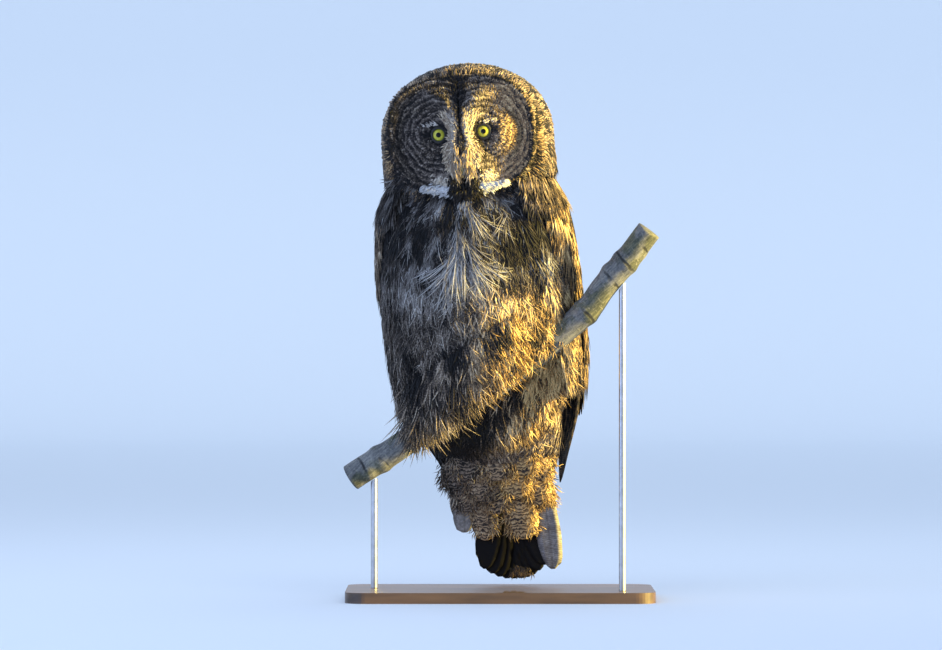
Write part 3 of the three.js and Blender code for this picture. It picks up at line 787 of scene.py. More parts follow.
def outward(points, faces):
    """The same faces, turned over if they point into the shape"""
    volume = np.sum(points[faces[:, 0]] * np.cross(points[faces[:, 1]], points[faces[:, 2]]))
    return faces[:, ::-1] if volume < 0 else faces


def locks_mesh(name, coat, sections=3, tip_pale=0.14, root_dark=0.22):
    n = len(coat["root"])
    places = LOCK_PLACES[sections]
    side = np.cross(coat["normal"], coat["flow"])
    rows, alongs, acrosses = [], [], []
    for place, wide in zip((*places, 1.0), (*LOCK_WIDTHS[sections], 0)):
        reach = coat["length"] * place
        stand = coat["length"] * (coat["rise"] * place - coat["hug"] * place * place)
        swing = coat["length"] * coat["sway"] * place * place
        middle = coat["root"] + coat["flow"] * reach[:, None] + coat["normal"] * stand[:, None]
        middle = middle + side * swing[:, None]
        if wide == 0:
            corners = [middle]
            shifts = [0]
        else:
            half = side * (coat["width"] * wide / 2)[:, None]
            lift = coat["normal"] * (coat["width"] * coat["thick"] * wide)[:, None]
            corners = [middle - half, middle + half, middle + lift]
            shifts = [-1, 1, 0]
        rows += corners
        alongs += [np.full(n, place)] * len(corners)
        acrosses += shifts
    per = len(rows)
    points = np.stack(rows, axis=1).reshape(-1, 3)
    along = np.stack(alongs, axis=1).ravel()
    shift = np.tile(np.array(acrosses, float), n)
    pattern = [(0, 2, 1)]
    for k in range(sections - 1):
        a, b = 3 * k, 3 * (k + 1)
        for i, j in ((0, 1), (1, 2), (2, 0)):
            pattern += [(a + i, a + j, b + j), (a + i, b + j, b + i)]
    last, tip = 3 * (sections - 1), per - 1
    pattern += [(last + i, last + j, tip) for i, j in ((0, 1), (1, 2), (2, 0))]
    pattern = outward(points[:per], np.array(pattern))
    triangles = (np.arange(n)[:, None, None] * per + pattern[None]).reshape(-1, 3)

    def spread(key):
        return np.repeat(coat[key], per, axis=0)

    cell = spread("cell") + columns(shift * 0.0010, along * 0.003)
    # painted shade: each lock darkens towards its root, under the locks over it; the paler tips are the
    # plumage's own
    tone = spread("tone") + root_dark * (1 - along) ** 2 - tip_pale * along**3
    plume = columns(tone, spread("warmth"), spread("bars"))
    course = columns(along * spread("length"), spread("across") + 0.2 * shift, spread("chance"))
    head_spot = moved(points, head_in_owl.inverted())
    world_points = moved(points, owl_place) * MM
    return mesh_of(name, world_points, triangles, cell,
                   {"plume": plume, "course": course, "spot": head_spot})


pieces_made = {}
BODY_AXIS = 5
UNWRAP_LOW, UNWRAP_HIGH = 100, 620


def coat_piece(name, parts, finish, slot, sections=3, **kwargs):
    coat = gathered(parts)
    mesh = locks_mesh(name, coat, sections, **kwargs)
    pieces_made[name] = len(mesh.polygons)
    print(f"{name}: {len(coat['root'])} locks, {len(mesh.polygons)} triangles")
    return new_object(name, mesh, finish)


def around(points):
    return np.arctan2(points[:, 0], -(points[:, 1] - BODY_AXIS))


def body_cell(points):
    """A feather's place on the body's unwrap"""
    u = 0.5 + around(points) / (2 * math.pi) * 0.98
    v = 0.01 + np.clip(points[:, 2] - UNWRAP_LOW, 0, UNWRAP_HIGH) / UNWRAP_HIGH * 0.97
    return columns(u, v)


print("faces of one lock:", {rings: 6 * rings - 2 for rings in LOCK_PLACES})

# %% [markdown]
# ## The plumage's colours
# Great grey owls are a fine mix of off-white, grey-brown and near black. A painted picture could hold it,
# but it would need an unwrap of every lock. The recipe turns the locks' own marks into colour and adds the
# fine mottle, so one recipe serves every part of the coat.

# %% Plumage finishes
PALE, GREY = (0.62, 0.61, 0.60), (0.225, 0.210, 0.200)
BROWN, BLACK = (0.056, 0.044, 0.037), (0.010, 0.0095, 0.010)
GOLD_PALE, GOLD_GREY = (0.82, 0.57, 0.235), (0.36, 0.21, 0.075)


def plume_colour(finish, tone, warmth):
    """From pale to black as the tone rises, and from grey to gold as the warmth does"""
    cool = finish.ramp(tone, [(0.0, PALE), (0.42, GREY), (0.74, BROWN), (1.0, BLACK)])
    warm = finish.ramp(tone, [(0.0, GOLD_PALE), (0.42, GOLD_GREY), (0.74, BROWN), (1.0, BLACK)])
    return finish.blend(warmth, cool, warm)


def plumage(name, bar_length=3.6, grains=0.34):
    finish = Finish(name, Roughness=0.72, Specular_IOR_Level=0.25)
    tone, warmth, bars = finish.split(finish.attribute("plume"))
    along, across, chance = finish.split(finish.attribute("course"))
    grain = finish.noise(330, 3.0)
    drift = finish.noise(75, 2.0)
    bent = drift * 11.0 + grain * 2.5 + across * across * 1.2 + chance * 2.0
    ripple = finish.wave(along * (2 * math.pi / bar_length) + bent)
    dark = tone + ripple * bars + (grain - 0.5) * grains + (chance - 0.5) * 0.08
    finish.feed("Base Color", plume_colour(finish, dark, warmth))
    return finish


coat_finish = plumage("soft plumage")
barred_finish = plumage("barred plumage", bar_length=4.6, grains=0.26)
print("plumage finishes:", coat_finish.material.name, "and", barred_finish.material.name)

# %% [markdown]
# ## The rings of the facial disc
# Fine dark rings stand round each eye. Rings drawn by the rows of feathers would be as coarse as the rows,
# so the finish draws them from the distance to the eye, broken by noise. The locks carry the darkness under
# them.


# %% Disc finish
RING_STEP = 8.0


def face_finish():
    finish = Finish("facial disc", Roughness=0.75, Specular_IOR_Level=0.2)
    tone, warmth, rings = finish.split(finish.attribute("plume"))
    x, _, z = finish.split(finish.attribute("spot"))
    _, _, chance = finish.split(finish.attribute("course"))
    dx, dz = abs(x) - EYE_SIDE, z - EYE_HEIGHT
    far = finish.node("Math", {"operation": "SQRT"}, {0: dx * dx + dz * dz})
    turn = finish.node("Math", {"operation": "ARCTAN2"}, {0: dz, 1: dx})
    side = finish.node("Math", {"operation": "SIGN"}, {0: x})
    polar = finish.node("CombineXYZ", None, {0: turn * 4.2, 1: far * 0.34, 2: side * 9.0})
    dashes = finish.noise(1.0, 3.0, at=polar)
    fine = finish.noise(520, 3.0)
    coarse = finish.noise(70, 2.0)
    wave = finish.wave(far * (2 * math.pi / RING_STEP) + coarse * 9.0 + dashes * 6.0)
    dark = tone + (wave * 0.13 + (dashes - 0.5) * 1.0) * rings
    dark = dark + (fine - 0.5) * 0.95 + (chance - 0.5) * 0.16
    finish.feed("Base Color", plume_colour(finish, dark, warmth))
    return finish


disc_finish = face_finish()
print("rings on the facial disc every", RING_STEP, "mm")

# %% [markdown]
# ## The lie of the breast feathers
# Under the chin the feathers fan outwards, and lower down they hang. A groomed lie could be combed by hand,
# but a short rule gives it at every root.


# %% Lie of the breast feathers
def chin_fan(points):
    from_chin = points - np.array([0, points[:, 1].mean(), 585])
    from_chin[:, 1] = 0
    hang = smooth(560, 400, points[:, 2])[:, None]
    down = np.array([0, 0.25, -1.0])
    return unit(from_chin) * (1 - hang) * 1.0 + down * mix(0.35, 1, hang)


print("lie 20 mm below the chin:", chin_fan(np.array([[20.0, -60, 565]])).round(2))

# %% [markdown]
# ## Soft random marks
# A bird's streaks and blots are random but soft. Noise nodes make such marks in a material, but here each
# lock needs one value for itself, so a small grid of random numbers is read with soft steps between them.

# %% Soft random marks
LATTICE = np.random.default_rng(5).random((97, 89))
BODY_RADIUS = 115


def mottle(u, v, seed=0):
    """Soft random values between 0 and 1 on a grid of unit cells"""
    u, v = u + 13.7 * seed, v + 7.9 * seed
    i, j = np.floor(u).astype(int), np.floor(v).astype(int)
    s, t = smooth(0, 1, u - i), smooth(0, 1, v - j)

    def at(a, b):
        return LATTICE[a % LATTICE.shape[0], b % LATTICE.shape[1]]

    return mix(mix(at(i, j), at(i + 1, j), s), mix(at(i, j + 1), at(i + 1, j + 1), s), t)


def blotch(u, v, seed=0):
    """Sharper dark and light blots, from two sizes of mottle"""
    return smooth(0.30, 0.70, 0.64 * mottle(u, v, seed) + 0.36 * mottle(2.3 * u, 2.1 * v, seed + 3))


def round_body(points):
    return around(points) * BODY_RADIUS


print("four blots:", blotch(np.arange(4.0), np.arange(4.0)).round(2))

# %% [markdown]
# ## Roots on the body
# Rays from outside find each root on the skin. Places under the folded wings are left bare, because no
# feather would show there and a hidden one could poke through.


# %% Roots on the body
def body_roots(step_up, step_round, low, high):
    z, angle = scatter(step_up, step_round, low, high)
    outward = columns(np.sin(angle), -np.cos(angle), 0)
    axis = columns(station(BODY, 4, z), station(BODY, 5, z), z)
    hit, places, normals = cast(axis + outward * 240, -outward)
    return places[hit], normals[hit], angle[hit]


def wing_cover(angle, z):
    turn = np.abs(angle) - math.pi / 2
    lead, trail = station(LEADING, 1, z), station(TRAILING, 1, z)
    return (turn > lead + 0.12) & (turn < trail - 0.16) & (z < 512) & (z > 252)


def open_front(limit):
    """Keeps the roots within an angle of the front's middle and clear of the wings"""
    return lambda places, angle: (np.abs(angle) < limit) & ~wing_cover(angle, places[:, 2])


print("wing over the body's side at 400 mm:", bool(wing_cover(np.array([1.9]), np.array([400.0]))[0]))

# %% [markdown]
# ## The marks of the body
# The breast carries dark blotched streaks that fan out from the chin, with pale brushes between them, and
# the belly is finer and warmer. On the owl's left the belly is painted paler and golden, as painted sun, and
# the breast's near-black ground is partly painted shade. The large marks stand in two lists, read off the
# real bird's pattern. The small ones are drawn by chance, as they are on the bird.

# %% Marks of the body
# Dark blots on the breast: x, z, half width, half height
BLOTS = [
    (-48, 512, 7, 15), (-11, 511, 5, 14), (24, 511, 7, 16), (9, 485, 6, 11), (-24, 451, 9, 12),
    (46, 494, 5, 14), (88, 493, 11, 14), (29, 470, 5, 13), (-44, 480, 7, 13), (-8, 473, 4, 9),
    (67, 468, 7, 12), (57, 441, 7, 8), (-50, 411, 6, 12), (-81, 476, 8, 14), (109, 464, 8, 14),
    (80, 460, 9, 13), (-66, 455, 8, 11), (12, 440, 4, 8),
]
# Pale brushes of filaments on the breast: from x, z to x, z, half width, darkness
PALE_BRUSHES = [
    (-21, 523, -33, 496, 13, 0.14), (-32, 522, -46, 494, 9, 0.30), (11, 523, 5, 492, 14, 0.05),
    (15, 505, 34, 465, 11, 0.18), (-1, 497, 0, 462, 6, 0.20), (38, 521, 42, 495, 10, 0.15),
    (70, 516, 76, 488, 12, 0.10), (77, 493, 90, 472, 8, 0.25), (-66, 530, -86, 503, 10, 0.35),
    (-50, 524, -68, 496, 5, 0.25), (61, 500, 47, 462, 6, 0.28), (-28, 479, -34, 449, 10, 0.18),
    (3, 466, -17, 442, 7, 0.18), (5, 466, 3, 434, 9, 0.15), (10, 466, 33, 424, 9, 0.18),
    (-4, 448, -32, 404, 15, 0.03), (-1, 450, -6, 393, 18, 0.0), (7, 448, 30, 404, 16, 0.04),
    (24, 438, 52, 417, 10, 0.05), (-34, 441, -53, 422, 11, 0.10), (-74, 444, -84, 428, 8, 0.35),
    (-42, 417, -50, 390, 9, 0.22), (-18, 406, -26, 378, 11, 0.20), (17, 404, 24, 374, 11, 0.20),
    (-66, 406, -73, 382, 9, 0.30), (98, 438, 108, 416, 9, 0.20), (88, 515, 100, 492, 8, 0.30),
    (-75, 536, -90, 505, 8, 0.35), (-96, 509, -106, 477, 7, 0.40), (-82, 497, -92, 465, 8, 0.36),
    (-99, 465, -107, 433, 8, 0.36), (-83, 453, -91, 421, 9, 0.32), (-64, 481, -72, 452, 7, 0.30),
    (-59, 448, -70, 416, 9, 0.26), (-103, 419, -109, 386, 8, 0.34), (-81, 410, -89, 378, 9, 0.30),
    (-62, 397, -66, 369, 8, 0.30), (-42, 461, -47, 436, 6, 0.32), (-39, 396, -44, 367, 8, 0.28),
    (91, 502, 103, 472, 7, 0.25), (103, 472, 119, 441, 7, 0.24), (116, 449, 132, 415, 7, 0.24),
    (88, 473, 98, 450, 5, 0.35), (100, 436, 116, 402, 6, 0.35),
]


def body_marks(points):
    x, z, u = points[:, 0], points[:, 2], round_body(points)
    front = smooth(225, 150, np.abs(u))
    breast = smooth(385, 440, z) * front
    from_chin = np.hypot(x, 600 - z)
    fanned = blotch(np.arctan2(x, 600 - z) * 150 / 6.5, from_chin / 26, 1)
    hanging = blotch(u / 6.5, z / 22, 2)
    back = blotch(u / 7.5, z / 12, 4)
    blots = mix(back, mix(hanging, fanned, breast), front)
    fine = mottle(u / 2.2, z / 4.0, 6)
    # painted shade: thin dark lines in the creases between the belly's plumes
    fold_shade = bump((mottle(u / 16, z / 75, 8) - 0.5) / 0.07, 1.0) * smooth(420, 380, z) * front
    marked = np.zeros(len(points))
    for blot_x, blot_z, wide, high in BLOTS:
        marked = np.maximum(marked, bump(np.hypot((x - blot_x) / wide, (z - blot_z) / high), 1.0) * front)
    pale = bump(np.hypot(x / 25, (z - 420) / 20), 1.0) * front
    for from_x, from_z, to_x, to_z, wide, _ in PALE_BRUSHES:
        spot = np.hypot((x - (from_x + to_x) / 2) / wide,
                        (z - (from_z + to_z) / 2) / (abs(from_z - to_z) * 0.6))
        pale = np.maximum(pale, 0.62 * bump(spot, 1.0) * front)
    dark_sides = bump(np.hypot((np.abs(x) - 88) / 30, (z - 470) / 40), 1.0) * front
    # the breast's near-black level is partly its dark streaks and partly painted shade under the head
    level = mix(0.56, mix(0.58, 0.86, breast), front)
    tone = level + (blots - 0.5) * mix(0.40, 0.46, breast) + (fine - 0.5) * 0.34
    tone = tone + 0.42 * marked - 0.50 * pale + 0.24 * dark_sides + 0.34 * fold_shade
    # painted sun: on the owl's left, below the breast, the belly is painted paler and golden, with dark blots
    # in it
    sunny = smooth(-30, 70, x) * smooth(420, 380, z) * front
    tone = tone + (mix(0.02, -0.32, sunny) + 0.34 * sunny * (blots - 0.42)) * smooth(420, 380, z) * front
    warmth = 0.10 + 0.12 * smooth(410, 330, z) - 0.10 * breast + 0.70 * sunny + 0.20 * (1 - front)
    bars = mix(0.09, 0.02, breast)
    return tone, np.clip(warmth, 0, 1), bars


print("breast blots:", len(BLOTS), "and pale brushes:", len(PALE_BRUSHES))

# %% [markdown]
# ## The cloak's streaks
# Nape, shoulders and mantle share one streaked pattern, so that no line shows where the pieces meet.


# %% Streaks of the cloak
def cloak_tone(points):
    u, z = round_body(points), points[:, 2]
    return 0.60 + 0.56 * (blotch(u / 5.5, z / 13, 7) - 0.5) + 0.44 * (mottle(u / 2.2, z / 5, 9) - 0.5)


print("cloak at one place:", cloak_tone(np.array([[0.0, 90, 540]])).round(2))

# %% [markdown]
# ## Marks on the skin
# Between the feathers the skin can be seen. Left in one colour it would show as holes in the marks, so it
# carries the same marks, a little darker as painted shade in the gaps.

# %% Marks on the skin
tone, warmth, _ = body_marks(skin_points)
on_head = smooth(540, 575, skin_points[:, 2])
# painted shade: the skin is a little darker than the coat's marks, for the gaps between the feathers
skin_marks = columns(mix(tone, 0.62, on_head) + 0.10, mix(warmth, 0.3, on_head), 0 * tone)
skin_layer = skin_mesh.attributes.new("plume", "FLOAT_VECTOR", "POINT")
skin_layer.data.foreach_set("vector", skin_marks.astype(np.float32).ravel())
tone, warmth, _ = skin_finish.split(skin_finish.attribute("plume"))
skin_tone = tone + (skin_finish.noise(420) - 0.5) * 0.5
skin_finish.feed("Base Color", plume_colour(skin_finish, skin_tone, warmth))
print("skin points with marks:", len(skin_marks))

# %% [markdown]
# ## Feathers with their marks
# A blot spreads over many feathers. So each lock takes its darkness from the place where its visible end
# lies, and not from its root, which would shift every mark upwards.


# %% Feathers with their marks
def painted(fans, streak=0.0, tone_shift=0.0, warm_shift=0.0, reach=0.75):
    """Marks each lock by where its visible end lies, so that a blot spreads over many locks"""
    seen = fans["root"] + fans["flow"] * (fans["length"] * reach)[:, None]
    tone, warmth, bars = body_marks(seen)
    middle = 1 - smooth(0.2, 0.8, np.abs(fans["across"]))
    fans["tone"] = fans["tone"] + tone + tone_shift + streak * (middle - 0.4)
    fans["warmth"] = np.clip(warmth + warm_shift, 0, 1)
    fans["bars"] = bars
    return fans


def body_feathers(step_up, step_round, low, high, keep, locks=7, length=(20, 27), width=11.5, streak=0.2,
                  **kwargs):
    places, normals, angle = body_roots(step_up, step_round, low, high)
    chosen = keep(places, angle)
    places, normals, angle = places[chosen], normals[chosen], angle[chosen]
    lie = np.where((np.abs(angle) < 1.9)[:, None], chin_fan(places), np.array([0, 0.1, -1.0]))
    reach = rng.uniform(*length, len(places))
    fans = fan(places, normals, along_skin(lie, normals), reach, width, 0.0, body_cell(places), locks=locks,
               **kwargs)
    return painted(fans, streak)


def thinned(hairs, narrow, shake):
    """Turns locks into single barbs, a little paler and each with its own tone"""
    hairs["width"] = hairs["width"] * narrow
    hairs["tone"] = hairs["tone"] - 0.10 + rng.normal(0, shake, len(hairs["tone"]))
    return hairs


# %% [markdown]
# ## Brushes of filaments
# On the breast, long loose barbs lie over the feathers in pale brushes and dark streaks. Each brush is a
# row of single thin locks from one place to another, which fans fixed to the rows of roots can't follow.


# %% Brushes of filaments
def on_front(x, z):
    starts = columns(x, -260.0, z)
    return cast(starts, np.tile([0.0, 1.0, 0.0], (len(x), 1)))


def brushes(rows, count, width, lift=1.8, spread=0.8):
    """Bundles of thin filaments. A row has x, z, x, z, half width and darkness."""
    parts = []
    for x0, z0, x1, z1, wide, tone in rows:
        t = np.linspace(-1, 1, count) + rng.normal(0, 0.25, count)
        way = np.array([x1 - x0, z1 - z0], float)
        long = np.hypot(*way)
        cross = np.array([-way[1], way[0]]) / long
        start = np.array([x0, z0]) + cross * (t * wide * 0.45)[:, None]
        start = start + way * rng.uniform(-0.3, 0.65, count)[:, None]
        end = np.array([x1, z1]) + cross * (t * wide * spread)[:, None]
        end = end + way * rng.uniform(-0.3, 0.3, count)[:, None]
        hit, places, normals = on_front(start[:, 0], start[:, 1])
        across, up = (end - start).T
        flow = along_skin(columns(across, 0, up), normals)
        reach = np.hypot(across, up) * rng.uniform(0.7, 1.1, count)
        shade = tone - 0.08 + 0.16 * np.abs(t) + rng.uniform(0, 0.30, count)
        parts.append(fan((places + normals * lift)[hit], normals[hit], flow[hit], reach[hit], width,
                         shade[hit], body_cell(places)[hit], locks=1, rise=0.10, hug=0.12, sway=0.6,
                         thick=0.3, warmth=0.05))
    return parts


DARK_BRUSHES = [(x, z + high, x * 1.06, z - high * 0.9, wide, 0.98) for x, z, wide, high in BLOTS]
print("brushes:", len(DARK_BRUSHES), "dark and", len(PALE_BRUSHES), "pale")

# %% [markdown]
# ## Breast
# Close fans make the ground of the breast, and loose hairs and the brushes lie over it. One layer alone
# would look like scales.

# %% Breast
front_breast = body_feathers(6.4, 7.6, 396, 560, open_front(1.75), length=(22, 30), width=12, locks=9,
                             splay=0.42, rise=0.22, sway=0.5, streak=0.12)
coat_piece("breast_coat", [front_breast], coat_finish, "body_feathers", sections=2)
hairs = body_feathers(8.5, 8.5, 380, 548, open_front(1.45), length=(20, 32), width=8, locks=4, splay=0.9,
                      rise=0.30, hug=0.22, sway=0.9, streak=0.0, spread=0.6)
breast_layers = [thinned(hairs, 0.32, 0.12), *brushes(DARK_BRUSHES, 22, 2.2, lift=1.0)]
breast_layers += brushes(PALE_BRUSHES, 64, 0.76, spread=0.46)
coat_piece("breast_streaks", breast_layers, coat_finish, "body_feathers", tip_pale=0.05)

# %% [markdown]
# ## Belly
# The belly's plumes are longer and looser, so their fans splay more and their hairs stand off further.

# %% Belly
front_belly = body_feathers(6.6, 7.8, 262, 400, open_front(1.8), length=(24, 34), width=12, locks=9,
                            rise=0.26, splay=0.55, sway=0.6, streak=0.15)
coat_piece("belly_coat", [front_belly], coat_finish, "body_feathers", sections=2)
down_hairs = body_feathers(8.5, 9.0, 262, 392, open_front(1.6), length=(26, 40), width=8, locks=4,
                           splay=0.8, rise=0.34, hug=0.26, sway=0.9, streak=0.0, spread=0.6)
coat_piece("belly_hairs", [thinned(down_hairs, 0.34, 0.10)], coat_finish, "body_feathers")

# %% [markdown]
# ## Vent and back
# Below the branch the coat is in the branch's shade on one side and in the sun on the other. The back's
# feathers are larger and lie close, as a bird's do where rain runs off.


# %% Vent and back
def below_branch(places, angle):
    return (np.abs(angle) < 1.9) & (places[:, 2] < branch_height(places[:, 0]) - 4)


def open_back(places, angle):
    return (np.abs(angle) > 1.7) & ~wing_cover(angle, places[:, 2])


under = body_feathers(6.6, 7.4, 150, 284, below_branch, length=(22, 32), locks=8, rise=0.2, splay=0.5,
                      sway=0.6)
x, below = under["root"][:, 0], branch_height(under["root"][:, 0]) - under["root"][:, 2]
# painted shadow of the branch: darker close below it, fading out towards the owl's left
under["tone"] = under["tone"] + 0.45 * smooth(66, 30, below) * smooth(60, 30, x)
# painted shade and sun: darker on the owl's right, paler on its left
under["tone"] = under["tone"] + mix(0.14, -0.16, smooth(-40, 35, x))
coat_piece("vent_coat", [under], coat_finish, "body_feathers", sections=2)
back = body_feathers(8.0, 9.6, 150, 566, open_back, length=(24, 32), width=14, rise=0.14, splay=0.3,
                     streak=0.3)
coat_piece("back_coat", [back], coat_finish, "body_feathers", sections=2)

# %% [markdown]
# ## Side fringe
# The folded wing lies on the body with a step at its front edge. On the bird the flank's feathers curl over
# that edge. Two rows along the edge, each with its own stand, close the step.

# %% Side fringe
# from and to how far round from the wing's edge, lowest and highest, stand off, rise
FRINGE_ROWS = [(-0.42, -0.14, 278, 520, -5.0, 0.34), (-0.16, 0.10, 286, 540, -1.0, 0.20)]
fringe = []
for side in (-1, 1):
    for ahead_of, behind, low, high, grow, rise in FRINGE_ROWS:
        z = np.arange(low, high, 1.5)
        z = z + rng.uniform(-1.5, 1.5, len(z))
        angle = side * (math.pi / 2 + station(LEADING, 1, z) + rng.uniform(ahead_of, behind, len(z)))
        root = skin_point(CARRIER, z, angle, grow)
        ahead = skin_point(CARRIER, z, angle + side * 0.02, grow)
        ahead = unit(ahead - skin_point(CARRIER, z, angle - side * 0.02, grow))
        normal = unit(np.cross(ahead, np.tile([0.0, 0.0, 1.0], (len(z), 1))))
        normal[np.sum(normal * (root - np.array([0, 0, 1]) * z[:, None]), axis=1) < 0] *= -1
        flow = along_skin(ahead * 0.30 + np.array([0, 0, -1.0]), normal)
        plumes = fan(root, normal, flow, rng.uniform(24, 34, len(z)), 13, 0.0, body_cell(root), locks=8,
                     splay=0.5, rise=rise, hug=0.18, sway=0.5)
        fringe.append(painted(plumes, 0.2, tone_shift=0.04))
print("fringe fans:", len(fringe))

# %% [markdown]
# ## Mantle
# The neck is hidden: loose feathers round it into the shoulders, over the wings' top edges. They stand on a
# collar, a surface that leaves the shoulders and draws in to the neck.

# %% Mantle
COLLAR_LOW, COLLAR_HIGH = 522, 572
MANTLE_LOCKS = 8


def collar(height, angle):
    return skin_point(CARRIER, height, angle, mix(2.5, -15.0, smooth(COLLAR_LOW, COLLAR_HIGH, height)))


mantle = []
for side in (-1, 1):
    z = rng.uniform(512, 566, 700)
    angle = side * rng.uniform(0.80, 3.05, len(z))
    root = collar(z, angle)
    flow = unit(collar(z - 3, angle) - collar(z + 3, angle))
    normal = along_skin(columns(np.sin(angle), -np.cos(angle), 0.4), flow)
    plumes = fan(root, normal, flow, rng.uniform(20, 38, len(z)), 12.5, 0.0, body_cell(root),
                 locks=MANTLE_LOCKS, splay=0.4, rise=0.12, hug=0.06, sway=0.4)
    # painted sun: the mantle on the owl's left is painted paler and more golden than on its right
    sunlit = side > 0
    cape = painted(plumes, 0.3, tone_shift=-0.10 * sunlit, warm_shift=0.5 * sunlit)
    behind = smooth(1.15, 1.6, np.abs(np.repeat(angle, MANTLE_LOCKS)))
    streaked = cloak_tone(cape["root"] + cape["flow"] * 16) + rng.normal(0, 0.05, len(behind))
    cape["tone"] = mix(cape["tone"], streaked, behind)
    cape["warmth"] = mix(cape["warmth"], 0.62 if sunlit else 0.48, behind)
    mantle.append(cape)
coat_piece("mantle", mantle, coat_finish, "body_feathers", sections=2)
coat_piece("side_fringe", fringe, coat_finish, "body_feathers", sections=2)

# %% [markdown]
# ## Belly skirt over the branch
# The owl sits fluffed, so its belly plumes hang over the branch and hide the toes. Cloth or hair physics
# could let them fall, but the result would change with every setting. Here each plume simply leaves the
# skin above the branch and ends in front of it, past the branch's lower edge.


# %% Belly skirt
def skin_front(x, z):
    share = np.minimum(0.98, np.abs(x - station(BODY, 4, z)) / station(BODY, 1, z))
    return station(BODY, 5, z) - station(BODY, 2, z) * (1 - share**SQUARENESS) ** (1 / SQUARENESS)


# height over the branch's middle of the root and of the hem, and how far in front of the branch it hangs
SKIRT_ROWS = [(10, -30, 30), (17, -28, 33), (25, -22, 35), (34, -13, 36), (44, -3, 36), (55, 7, 34),
              (66, 18, 30)]
skirt = []
for row, (above, hem, layer) in enumerate(SKIRT_ROWS):
    x = np.arange(-90, 66, 4.0)
    x = x + rng.uniform(-1.8, 1.8, len(x))
    top = branch_height(x) + above + rng.uniform(-4, 4, len(x))
    end = branch_height(x) + hem + 9 * smooth(-30, 20, x) + rng.uniform(-6, 6, len(x))
    inner = branch_y - layer - 0.5 * row
    root = columns(x, skin_front(x, top) + COAT_DEPTH - 1, top)
    tip_x = x * 1.02 + rng.uniform(-5, 5, len(x))
    tip = columns(tip_x, np.minimum(inner, skin_front(x, end) - 2), end)
    flow = unit(tip - root)
    normal = along_skin(np.tile([0.0, -1.0, 0.0], (len(x), 1)), flow)
    plumes = fan(root, normal, flow, np.linalg.norm(tip - root, axis=1), 12, 0.0, body_cell(root), locks=11,
                 splay=0.34, rise=0.42, hug=0.45, sway=0.6, ragged=0.25)
    skirt.append(painted(plumes, 0.12, warm_shift=0.15))
coat_piece("belly_skirt", skirt, coat_finish, "body_feathers")

# %% [markdown]
# ## Apron of down
# The long plumes alone would show as straight strings. Short fans on a round apron in front of them give
# the fluff its full, soft face.


# %% Apron of down
def apron(x, share):
    top, hem = branch_height(x) + 62, branch_height(x) - 24 + 9 * smooth(-30, 20, x)
    z = mix(top, hem, share)
    full = mix(skin_front(x, z) - 4, branch_y - 38, smooth(0.0, 0.55, share))
    round_side = 16 * np.abs(x / 95) ** 3
    y = np.minimum(full, skin_front(x, z) - 3) + round_side + 8 * smooth(0.7, 1.0, share)
    return columns(x, y, z)


x, share = np.meshgrid(np.arange(-88, 64, 6.4), np.arange(0.0, 0.80, 0.075), indexing="ij")
x = (x + rng.uniform(-2.5, 2.5, x.shape)).ravel()
share = (share + rng.uniform(-0.03, 0.03, share.shape)).ravel()
root = apron(x, share)
flow = unit(apron(x + rng.uniform(-2, 2, len(x)), share + 0.15) - root)
normal = along_skin(np.tile([0.0, -1.0, 0.0], (len(x), 1)), flow)
down = fan(root, normal, flow, rng.uniform(20, 30, len(x)), 12, 0.0, body_cell(root), locks=9, splay=0.55,
           rise=0.20, hug=0.16, sway=0.7, ragged=0.2)
down = painted(down, 0.15, warm_shift=0.1)
coat_piece("belly_apron", [down], coat_finish, "body_feathers", sections=2)

# %% [markdown]
# ## Head coat
# Short feathers lie back over the crown and down the nape. Rows of latitude would crowd at a pole, so the
# roots are spread over a sphere on a spiral, which keeps the crown as dense as the sides.


# %% Head coat
def sphere_ways(count):
    k = np.arange(count) + 0.5
    polar, angle = np.arccos(1 - 2 * k / count), math.pi * (1 + 5**0.5) * k
    ways = columns(np.sin(polar) * np.cos(angle), np.cos(polar), np.sin(polar) * np.sin(angle))
    return unit(ways + rng.normal(0, 0.012, ways.shape))


def head_cell(spot):
    way = unit(spot)
    polar = np.arccos(np.clip(way[:, 1], -1, 1)) / math.pi
    angle = np.arctan2(way[:, 2], way[:, 0])
    return columns(0.5 + 0.48 * polar * np.cos(angle), 0.5 + 0.48 * polar * np.sin(angle))


HEAD_LOCKS = 4
ways = turned(sphere_ways(7000), head_in_owl)
hit, places, normals = cast(np.array(HEAD_CENTRE) + ways * 260, -ways)
spot = moved(places, head_in_owl.inverted())
chosen = hit & ((face_share(spot[:, 0], spot[:, 2]) > 0.985) | (spot[:, 1] > -30)) & (places[:, 2] > 524)
places, normals, spot = places[chosen], normals[chosen], spot[chosen]
print("feathers on the head:", len(places))

# %% [markdown]
# ## Lie and marks of the head coat
# Beside the disc the feathers point outwards, then they turn back, and low on the nape they fall over the
# mantle. The speckles are as on the cloak, and the crown is greyer.

